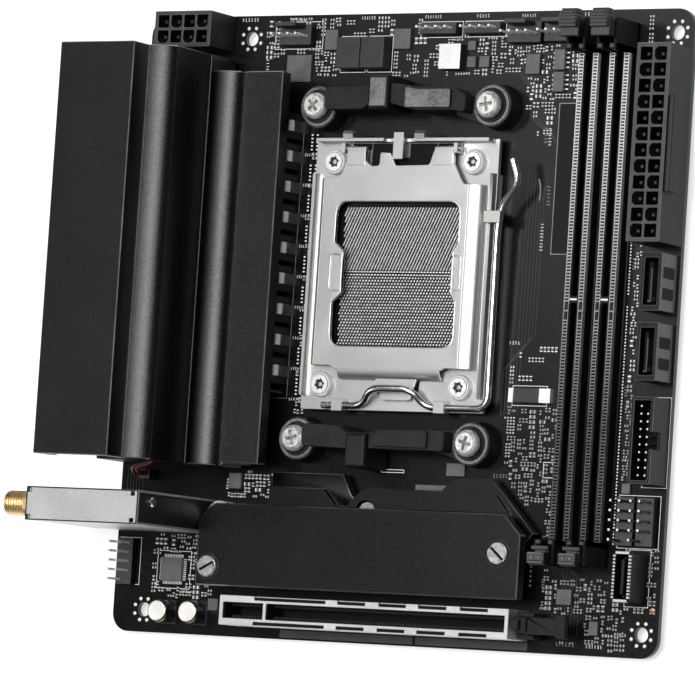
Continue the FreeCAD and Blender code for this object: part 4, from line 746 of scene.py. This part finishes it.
# ------------------------------------------------------------------ memory slots
for tag, cx in (("a", 141.5), ("b", 150.75)):
    B = Build()
    for sd in (-1, 1):
        lo, hi = sorted((cx + sd * 0.82, cx + sd * 2.95))
        # lower wall blocks and, further down, the channel floor take the near-black plastic: painted shade between the
        # ribs and down the slot
        B.box((lo, hi), (28.0, 159.4), (0.0, 3.3), 2)
        c = cx + sd * 2.12
        for rx in (-0.66, 0.66):
            B.box((c + rx - 0.15, c + rx + 0.15), (28.0, 159.4), (3.2, 4.7), 0, c=0.08)
        il, ih = sorted((cx + sd * 0.82, cx + sd * 1.18))
        B.box((il, ih), (28.0, 159.4), (3.0, 4.5), 1, c=0.08)
        y = 28.6
        while y < 159.0:
            if not (87.9 < y < 92.0) or abs(y - 89.9) < 0.42:
                B.box((c - 0.6, c + 0.6), (y - 0.17, y + 0.17), (3.2, 4.62), 0)
            y += 0.85
        for y0, y1 in ((28.0, 28.7), (158.7, 159.4)):
            B.box((lo, hi), (y0, y1), (3.0, 4.72), 1, c=0.1)
    B.box((cx - 0.9, cx + 0.9), (91.9, 93.7), (0.0, 4.5), 1, c=0.1)
    B.box((cx - 1.15, cx + 0.95), (92.55, 93.05), (4.5, 4.72), 3)
    B.box((cx - 0.9, cx + 0.9), (28.0, 159.4), (0.0, 1.55), 2)
    for ya, yb, ye, zt in ((157.8, 166.2, 1, 12.4), (23.0, 29.4, 0, 12.4)):
        B.box((cx - 2.95, cx + 2.95), (ya, yb), (0.0, 0.8), 1)
        for xa, xb in ((cx - 2.95, cx - 2.05), (cx + 2.05, cx + 2.95)):
            B.box((xa, xb), (ya, yb), (0.0, zt), 1, c=0.35)
        wy = (157.8, 159.4) if ye else (28.0, 29.4)
        # tops of the end towers take the lighter grey: painted sheen
        B.box((cx - 2.95, cx - 0.95), wy, (0.0, zt), 1, c=0.3, top=4)
        B.box((cx + 0.95, cx + 2.95), wy, (0.0, zt), 1, c=0.3, top=4)
    B.make("dimm_slot_%s_body" % tag, ["ladder", "plastic", "plastic_black_and_shade", "silk", "painted_sheen"], "board", SLOT_OF["dimm_slot_" + tag], ("dimm_slot_" + tag,))

# ------------------------------------------------------------------ small dots, ladders and rims
B = Build()
for k in range(153):                                       # solder tails beside the memory slots
    y = 29.4 + 0.85 * k
    if 91.5 < y < 94.4:
        continue
    for x in (146.15, 155.15):
        B.box((x - 0.17, x + 0.17), (y - 0.2, y + 0.2), (-0.02, 0.10), 0)
for cx, cy in ((10.16, 6.17), (165.1, 6.17), (165.1, 163.65), (33.02, 163.65)):     # grounding beads round the fixing holes
    B.sheet(ring(cx, cy, 4.1, 32), [ring(cx, cy, 2.1, 32)], -0.02, 0.03, 1)
    for i in range(8):
        t = 2 * math.pi * (i + 0.5) / 8
        B.lathe(cx + 3.1 * math.cos(t), cy + 3.1 * math.sin(t), [(0.55, -0.02), (0.52, 0.10), (0.3, 0.24), (0.0, 0.28)], n=12)
B.lathe(168.0, 12.5, [(0.75, -0.02), (0.75, 0.03)], 2, n=20)
B.lathe(4.0, 166.0, [(0.75, -0.02), (0.75, 0.03)], 2, n=20)
B.make("board_dots", ["solder", "pcb", "copper"], "board", "solder")

B = Build()                                                # contact tips just visible in the expansion slot, near-black with painted shade
for k in range(82):
    x = 45.0 + 1.0 * k + (2.2 if k > 10 else 0.0)
    if x > 129.0:
        break
    for y in (5.55, 8.25):
        B.box((x - 0.2, x + 0.2), (y - 0.16, y + 0.16), (8.3, 8.72), 0)
B.make("expansion_contact_tips", ["pin_shade"], "board", SLOT_OF["slot_contacts"])

# USB-C internal header: shell with a stamped, toothed rim
B = Build()
B.sheet(rect(160.3, 165.6, 14.1, 27.3, 1.0), [rect(161.05, 164.85, 14.9, 26.5, 0.7)], 0.0, 8.55, 1)
B.sheet(rect(160.45, 165.45, 14.25, 27.15, 0.9), [rect(160.95, 164.95, 14.8, 26.6, 0.7)], 8.4, 8.8, 1)
n = 13
for k in range(n):
    y = 14.9 + (26.5 - 14.9) * (k + 0.5) / n
    for xa, xb in ((160.3, 161.05), (164.85, 165.6)):
        B.box((xa, xb), (y - 0.27, y + 0.27), (8.3, 9.0), 0, c=0.05)
for y0, y1 in ((14.1, 14.9), (26.5, 27.3)):
    B.box((160.9, 165.0), (y0, y1), (8.2, 9.0), 0, c=0.1)
# the floor inside the shell and the pins in it are near-black: painted shade
B.box((161.05, 164.85), (14.9, 26.5), (0.0, 1.2), 2)
for k in range(12):
    y = 15.7 + 0.9 * k
    B.box((163.05, 163.4), (y - 0.2, y + 0.2), (7.0, 7.5), 3)
B.make("usbc_header_shell", ["steel", "plastic", "plastic_black_and_shade", "pin_shade"], "board", SLOT_OF["usbc_header"], ("usbc_header",))

# audio capacitors
B = Build()
for x, y in ((18.1, 5.9), (28.0, 6.0)):
    B.box((x - 3.3, x + 3.3), (y - 3.3, y + 3.3), (0.0, 0.9), 0, c=0.2)
    B.lathe(x, y, [(3.1, 0.85), (3.15, 1.1), (3.15, 5.2), (3.02, 5.62), (2.75, 5.8), (2.6, 5.8)], 0, n=40)
    B.lathe(x, y, [(2.72, 5.4), (2.72, 5.86), (2.5, 5.92), (2.2, 5.88), (0.0, 5.88)], mis=[2, 2, 1, 1], n=40)
B.make("audio_capacitor_cans", ["sleeve", "cap", "gold"], "board", SLOT_OF["audio_capacitors"], ("audio_capacitors",), smooth=34, fix=True)

# silver terminals on the chokes, in a near-white tin that carries a painted glint; the thin strips beside and on each
# choke take the lighter grey, a painted highlight
B = Build()
for k in range(9):
    y = 68.9 + 8.33 * k
    arc = [(50.75 + 0.85 * math.sin(math.radians(t)), 4.7 + 1.7 * math.cos(math.radians(t))) for t in range(0, 91, 15)]
    B.run(arc + [(51.3, 4.7), (51.2, 5.5), (50.75, 6.1)], y + 2.0, y + 4.9, "Y")
    B.box((50.75, 50.9), (y - 2.6, y - 1.9), (1.0, 6.8), 1, c=0.05)
    B.box((46.0, 49.6), (y - 2.9, y - 2.6), (7.75, 7.84), 1)
    B.box((46.0, 49.6), (y + 2.6, y + 2.9), (7.75, 7.84), 1)
B.box((131.2, 132.4), (65.7, 69.3), (0.0, 1.7), 0, c=0.1)
B.box((122.3, 123.4), (65.9, 69.1), (0.0, 1.7), 0, c=0.1)
B.make("choke_terminals", ["terminal", "painted_sheen"], "board", SLOT_OF["power_chokes"], fix=True)

# details on the connectors
B = Build()
for ya, yb in ((89.8, 105.0), (71.6, 86.8)):               # key tongue of each data port and the slots in its outer wall; the tongue takes the lighter grey, a painted highlight, and the slots are near-black strips, painted shade
    B.box((166.0, 166.5), (ya + 2.2, yb - 4.2), (2.0, 8.3), 0, c=0.08)
    B.box((165.3, 166.2), (ya + 2.2, ya + 2.8), (2.0, 8.3), 0, c=0.08)
    for t in (0.30, 0.66):
        y = ya + (yb - ya) * t
        B.box((169.28, 169.36), (y - 1.5, y + 1.5), (1.8, 7.6), 1)
for k in range(7):
    y = 17.6 + 1.25 * k
    B.box((131.0, 131.35), (y - 0.3, y + 0.3), (-0.02, 0.2), 2)
B.make("connector_details", ["painted_sheen", "plastic_black_and_shade", "solder"], "board", SLOT_OF["sata_ports"])

# ------------------------------------------------------------------ the board's surface
SMD = []


def free(x, y, hw, hh, gap=0.35):
    if not (0.9 < x - hw and x + hw < 169.2 and 0.9 < y - hh and y + hh < 169.2):
        return False
    if x > 119.0 and 13.0 < y < 45.4 and x - hw < 134.9 - max(0.0, y - hh - 31.1) * 0.956:
        return False                                       # under the two lower heatsinks and their cut corner
    for x0, x1, y0, y1 in OCC:
        if x + hw + gap > x0 and x - hw - gap < x1 and y + hh + gap > y0 and y - hh - gap < y1:
            return False
    for x2, y2, w2, h2 in SMD:
        if abs(x - x2) < hw + w2 + 0.28 and abs(y - y2) < hh + h2 + 0.28:
            return False
    return True


OCC[:] = [b for b in OCC if not (51.0 < b[0] < 53.0 and b[1] > 130.0)]
OCC += [(58.0, 119.6, 61.0, 137.2), (53.0, 120.5, 137.5, 152.2), (53.0, 120.5, 46.0, 60.6), (137.4, 156.0, 20.5, 168.0), (3.0, 16.5, 2.0, 10.5), (160.9, 169.3, 2.0, 10.4),
        (160.9, 169.3, 159.5, 168.0), (28.8, 37.3, 159.4, 168.0), (130.4, 137.6, 104.4, 145.6), (0, 53.8, 48.0, 152.5), (33, 134, 0.0, 37.5), (51.0, 119.6, 21.0, 45.5), (159.0, 171.0, 43.0, 171.0), (0.0, 11.8, 11.0, 27.4)]
PB = Build()


# end caps right of x 110 and below y 72 take the darker solder: painted shade
def part(x, y, L, W, H, vert, body=0):
    if vert:
        PB.box((x - W / 2, x + W / 2), (y - L / 2 + L * 0.24, y + L / 2 - L * 0.24), (-0.02, H * 0.96), body)
        for a, b in ((y - L / 2, y - L / 2 + L * 0.26), (y + L / 2 - L * 0.26, y + L / 2)):
            PB.box((x - W / 2, x + W / 2), (a, b), (-0.02, H), 4 if x > 110.0 and y < 72.0 else 2, c=0.05)
    else:
        PB.box((x - L / 2 + L * 0.24, x + L / 2 - L * 0.24), (y - W / 2, y + W / 2), (-0.02, H * 0.96), body)
        for a, b in ((x - L / 2, x - L / 2 + L * 0.26), (x + L / 2 - L * 0.26, x + L / 2)):
            PB.box((a, b), (y - W / 2, y + W / 2), (-0.02, H), 4 if x > 110.0 and y < 72.0 else 2, c=0.05)


def scatter(x0, x1, y0, y1, count, px=1.45, py=1.0, vert=None, big=0.12):
    """small two-ended parts in short runs on a common pitch"""
    made, tries = 0, 0
    while made < count and tries < count * 12:
        tries += 1
        v = rng.random() < 0.5 if vert is None else vert
        L, W, H = (1.75, 0.95, 0.6) if rng.random() < big else ((1.12, 0.60, 0.4) if rng.random() < 0.75 else (1.35, 0.72, 0.45))
        sx, sy = rng.uniform(x0, x1), rng.uniform(y0, y1)
        run = rng.choice((1, 2, 3, 3, 4, 5))
        dx, dy = ((W + 0.42, 0.0) if v else (0.0, W + 0.42))
        b = rng.choice((0, 0, 1))
        for k in range(run):
            x, y = sx + dx * k, sy + dy * k
            hw, hh = (W / 2, L / 2) if v else (L / 2, W / 2)
            if x > x1 or y > y1 or not free(x, y, hw, hh):
                break
            part(x, y, L, W, H, v, b)
            SMD.append((x, y, hw, hh))
            made += 1


# pads right of x 110 take the darker solder: painted shade
def grid(x0, y0, nx, ny, px, py):
    for i in range(nx):
        for j in range(ny):
            x, y = x0 + i * px, y0 + j * py
            if free(x, y, 0.3, 0.3, 0.1):
                PB.box((x - 0.28, x + 0.28), (y - 0.2, y + 0.2), (-0.02, 0.10), 4 if x > 110.0 else 3)
                SMD.append((x, y, 0.28, 0.2))


for k in range(9):
    grid(54.7, 66.4 + 8.33 * k, 4, 5, 0.82, 1.0)
grid(119.6, 57.6, 5, 6, 0.9, 0.8)
grid(119.6, 51.4, 4, 5, 0.9, 0.8)
for x0, x1, y0, y1, c in ((38, 62, 152.6, 169, 60), (62, 96, 163.5, 169.0, 22), (54, 62, 153, 160, 14), (78, 96, 152.6, 163.5, 34), (96, 137, 146, 163.8, 120), (119, 137, 137, 150, 20),
                          (51.4, 57.6, 60.5, 68, 14), (51.4, 56.6, 68, 152, 26), (119.5, 136.8, 44.0, 64.5, 96), (121.0, 137.0, 24.0, 45.0, 56), (134.5, 154.5, 3, 22.5, 84), (155.6, 169, 12, 29, 40), (134.8, 159.8, 3, 12, 26),
                          (155.7, 162.4, 42.2, 106.5, 150), (155.6, 160.2, 107, 168, 40), (1.5, 33, 9.5, 30, 90), (34.5, 51.5, 38.2, 47.6, 40), (54, 118, 45.8, 47.6, 14), (156, 169, 1.4, 5.0, 8), (121, 136.8, 64.5, 80, 16)):
    scatter(x0, x1, y0, y1, c)
PB.make("passive_parts", ["smd", "ic", "solder", "silk", "solder_shade"], "board", SLOT_OF["component_leads"])

# printed outlines, generic marks and covered traces
B = Build()


def frame_line(x0, x1, y0, y1, w=0.16, mi=0, z=0.035):
    B.sheet([(x0, y0), (x1, y0), (x1, y1), (x0, y1)], [[(x0 + w, y0 + w), (x1 - w, y0 + w), (x1 - w, y1 - w), (x0 + w, y1 - w)]], -0.02, z, mi)


def marks(x, y, n, vert=False, h=0.9, mi=0):
    """a run of generic dashes the size of part references"""
    for k in range(n):
        t = k * h * 0.95
        w = h * rng.uniform(0.3, 0.55)
        o = rng.uniform(0.0, h * 0.35)
        for a, b in ((0.0, 0.16), (h * 0.42, h * 0.42 + 0.14), (h * 0.84, h * 0.84 + 0.16)):
            if rng.random() < 0.25:
                continue
            if vert:
                B.box((x + a, x + b), (y + t, y + t + w), (-0.02, 0.03), mi)
            else:
                B.box((x + t, x + t + w), (y + a, y + b), (-0.02, 0.03), mi)
        if vert:
            B.box((x, x + h), (y + t + o * 0.3, y + t + o * 0.3 + 0.14), (-0.02, 0.03), mi)
        else:
            B.box((x + t + o * 0.3, x + t + o * 0.3 + 0.14), (y, y + h), (-0.02, 0.03), mi)


def line(pts, w=0.14, mi=1, z=0.028):
    for (xa, ya), (xb, yb) in zip(pts, pts[1:]):
        d = Vector((xb - xa, yb - ya))
        if d.length < 1e-6:
            continue
        d.normalize()
        nx, ny = -d.y * w / 2, d.x * w / 2
        B.prism([(xa + nx, ya + ny), (xa - nx, ya - ny), (xb - nx, yb - ny), (xb + nx, yb + ny)], -0.02, z, mi)


for k in range(9):
    marks(52.6, 64.6 + 8.33 * k, 5, h=0.75)
    frame_line(43.6, 51.9, 65.1 + 8.33 * k, 72.6 + 8.33 * k, 0.12, 2)
for x0, x1, y0, y1 in ((62.0, 70.8, 154.0, 164.0), (70.0, 78.4, 154.0, 164.0), (40.6, 56.0, 160.6, 168.2), (86.8, 100.0, 163.2, 167.6), (100.6, 113.4, 163.2, 167.6), (122.2, 132.8, 64.8, 70.2),
                       (159.4, 166.6, 13.2, 28.2), (156.2, 168.6, 28.4, 42.3), (0.9, 8.0, 12.8, 25.8), (162.4, 169.9, 44.3, 68.0), (132.9, 137.0, 46.0, 50.2), (83.2, 90.4, 46.0, 46.9), (13.6, 24.6, 12.2, 22.6)):
    frame_line(x0, x1, y0, y1)
for x, y, n, v in ((29.6, 168.4, 6, False), (45.0, 168.3, 7, False), (68.0, 168.5, 6, False), (88.0, 168.5, 7, False), (104.0, 168.5, 5, False), (118.0, 168.4, 6, False), (38.2, 155.0, 5, True),
                   (127.6, 106.0, 9, True), (128.9, 118.0, 6, True), (128.2, 134.0, 6, True), (127.0, 134.6, 5, True), (155.9, 101.2, 4, True), (155.8, 68.0, 4, True), (134.0, 27.0, 5, True),
                   (140.0, 2.2, 6, False), (149.0, 2.0, 6, False), (12.6, 27.6, 6, False), (22.0, 11.0, 5, False), (3.0, 31.0, 5, False), (36.0, 37.9, 6, False), (118.0, 45.6, 6, False),
                   (157.2, 5.4, 5, False), (134.6, 17.0, 4, True), (120.4, 81.0, 4, False), (137.0, 168.4, 5, False)):
    marks(x, y, n, v, h=rng.choice((0.8, 0.9, 1.0)), mi=0 if y > 150.0 else rng.choice((0, 0, 2)))
B.sheet([(131.3, 105.3), (137.2, 105.3), (137.2, 145.0), (131.3, 145.0)], [], -0.02, 0.05, 3)
frame_line(131.0, 137.5, 105.0, 145.3, 0.22, 2, 0.06)
B.sheet([(54.6, 0.5), (96.4, 0.5), (96.4, 2.6), (54.6, 2.6)], [], -0.02, 0.03, 4)
B.sheet([(97.2, 0.5), (131.4, 0.5), (131.4, 2.6), (97.2, 2.6)], [], -0.02, 0.03, 4)
for k in range(7):
    o = 0.75 * k
    line([(117.8 + o, 160.0), (117.8 + o, 153.5 - o * 0.4), (122.5 + o, 148.2 - o * 0.4), (122.5 + o, 141.5), (126.0 + o * 1.2, 138.6 - o)], 0.2)
for k in range(6):
    o = 1.0 * k
    line([(119.0 + o, 62.0), (119.0 + o, 74.0 + o), (123.0 + o, 79.0 + o), (123.0 + o, 128.0 - o)], 0.18)
    line([(136.0, 30.0 - o * 0.8), (141.0 + o, 25.0 - o), (141.0 + o, 3.0 + o * 0.4)], 0.18)
    line([(2.0 + o, 46.0), (2.0 + o, 33.0 - o), (8.0 + o * 1.4, 27.0 - o)], 0.18)
    line([(156.4 + o * 0.7, 158.0), (156.4 + o * 0.7, 112.0 + o)], 0.16)
arc = [(122.6 + 4.2 * math.cos(math.radians(t)), 121.5 + 7.0 * math.sin(math.radians(t))) for t in range(-18, 35, 6)]
line(arc, 0.3, 2)
B.make("board_print", ["silk", "trace", "silk_grey", "label", "strip"], "board", "board_laminate")

# finger ridges on the upper memory latches and grooves on the lower ones
# the ridges take lighter greys: painted sheen on the upper latches, painted highlight on the lower
for tag, cx in (("a", 141.5), ("b", 150.75)):
    B = Build()
    for k in range(3):
        y = 163.6 + 0.2 + 0.95 * k
        B.box((cx - 2.35, cx + 2.35), (y, y + 0.42), (17.1, 17.7), 0, c=0.12)
    B.box((cx - 1.6, cx + 1.6), (166.6, 167.1), (16.7, 17.2), 0, c=0.1)
    B.make("latch_%s_upper_ridges" % tag, ["painted_sheen"], "dimm_latch_%s_upper" % tag, SLOT_OF["dimm_latch_%s_upper" % tag])
    B = Build()
    B.box((cx - 2.3, cx + 2.3), (23.0, 23.4), (16.3, 16.9), 0, c=0.1)
    B.box((cx - 2.3, cx + 2.3), (25.3, 25.7), (16.3, 16.9), 0, c=0.1)
    for sx in (-1.1, 1.1):
        B.box((cx + sx - 0.35, cx + sx + 0.35), (24.0, 24.8), (16.4, 16.8), 0, c=0.1)
    B.make("latch_%s_lower_ridges" % tag, ["rim"], "dimm_latch_%s_lower" % tag, SLOT_OF["dimm_latch_%s_lower" % tag])

# wireless bracket: ring screw and hole on its end cap
B, JK = Build(), Build()
B.lathe(34.0, 33.0, [(1.5, 0.0), (1.5, 0.5), (1.1, 0.8), (0.0, 0.8)], 0, n=20, axis="X", base=32.4)
for z in (35.0, 22.0):                                     # thread on the two aerial jacks
    for k in range(7):
        hoop(JK, 32.2, z, [(3.05, 0.0), (3.42, 0.3), (3.05, 0.6)], n=28, axis="X", base=-11.85 + 0.86 * k)
    hoop(JK, 32.2, z, [(3.05, 0.0), (3.3, 0.0), (3.3, 0.3), (3.05, 0.3)], n=28, axis="X", base=-12.2)
JK.make("aerial_jack_threads", ["gold"], "board", SLOT_OF["antenna_jacks"], fix=True)
# a thin near-black outline along the cap's top edge: painted shade
B.sheet(rect(-3.85, 32.35, 27.65, 36.75, 0.3), [rect(-3.5, 31.95, 27.98, 36.4, 0.3)], 39.5, 39.66, 1)
B.make("wifi_cap_screw", ["bright", "pin_shade"], "board", SLOT_OF["wifi_end_cap"], fix=True, smooth=34)

# ------------------------------------------------------------------ floor, light, camera
def area(name, loc, target, size, power, size_y=None, color=(1, 1, 1)):
    L = bpy.data.lights.new(name, "AREA")
    L.shape = "RECTANGLE"
    L.size = size
    L.size_y = size_y or size
    L.energy = power
    L.color = color
    o = bpy.data.objects.new(name, L)
    o.location = loc
    o.rotation_euler = (Vector(target) - Vector(loc)).to_track_quat("-Z", "Y").to_euler()
    scene.collection.objects.link(o)
    return o


fm, nt, b, tc = new_mat("floor_white")
fl_noise = noise(nt, tc, 3.0)
nt.links.new(ramp(nt, fl_noise, [(0.3, 0.52), (0.7, 0.56)]), b.inputs["Base Color"])
b.inputs["Roughness"].default_value = 0.9
b.inputs["Emission Color"].default_value = (1, 1, 1, 1)
b.inputs["Emission Strength"].default_value = 0.62
me = bpy.data.meshes.new("floor")
zf = CAD_LOW[2] - 0.0002
me.from_pydata([(-6, -6, zf), (6, -6, zf), (6, 6, zf), (-6, 6, zf)], [], [(0, 1, 2, 3)])
me.materials.append(fm)
floor = bpy.data.objects.new("floor", me)
scene.collection.objects.link(floor)

world = bpy.data.worlds.new("studio")
world.use_nodes = True
world.node_tree.nodes["Background"].inputs[0].default_value = (1, 1, 1, 1)
world.node_tree.nodes["Background"].inputs[1].default_value = 0.08
scene.world = world
scene.view_settings.view_transform = "Standard"

CX, CY = 0.075, 0.079
area("softbox_top", (-0.27, 0.70, 1.37), (-0.27, 0.70, 0.0), 0.94, 4.8, 1.04)
area("softbox_head", (0.225, CY + 0.10, 1.34), (CX, CY, 0), 0.54, 18.0, 1.0)
area("softbox_left", (CX - 1.1, CY - 0.4, 0.7), (CX, CY, 0), 0.6, 3.0)

cam = bpy.data.cameras.new("camera")
cam.sensor_width = 36.0
cam.lens = 36.0 * 5313.466891700277 / 695.0
cam.clip_end = 30.0
cam.dof.use_dof = False
camo = bpy.data.objects.new("camera", cam)
R0 = (0.8510729757743626, 0.0650461392266762, -0.5210026772275503)
R1 = (0.016482525080717982, -0.9951172633704862, -0.09731371182417103)
R2 = (-0.5247886396193563, 0.07423363061132171, -0.8479895352023675)
camo.matrix_world = Matrix(((R0[0], -R1[0], -R2[0], 0.8108164587942316),
                            (R0[1], -R1[1], -R2[1], -0.03064596358193434),
                            (R0[2], -R1[2], -R2[2], 1.2151304037023087),
                            (0, 0, 0, 1)))
scene.collection.objects.link(camo)
scene.camera = camo
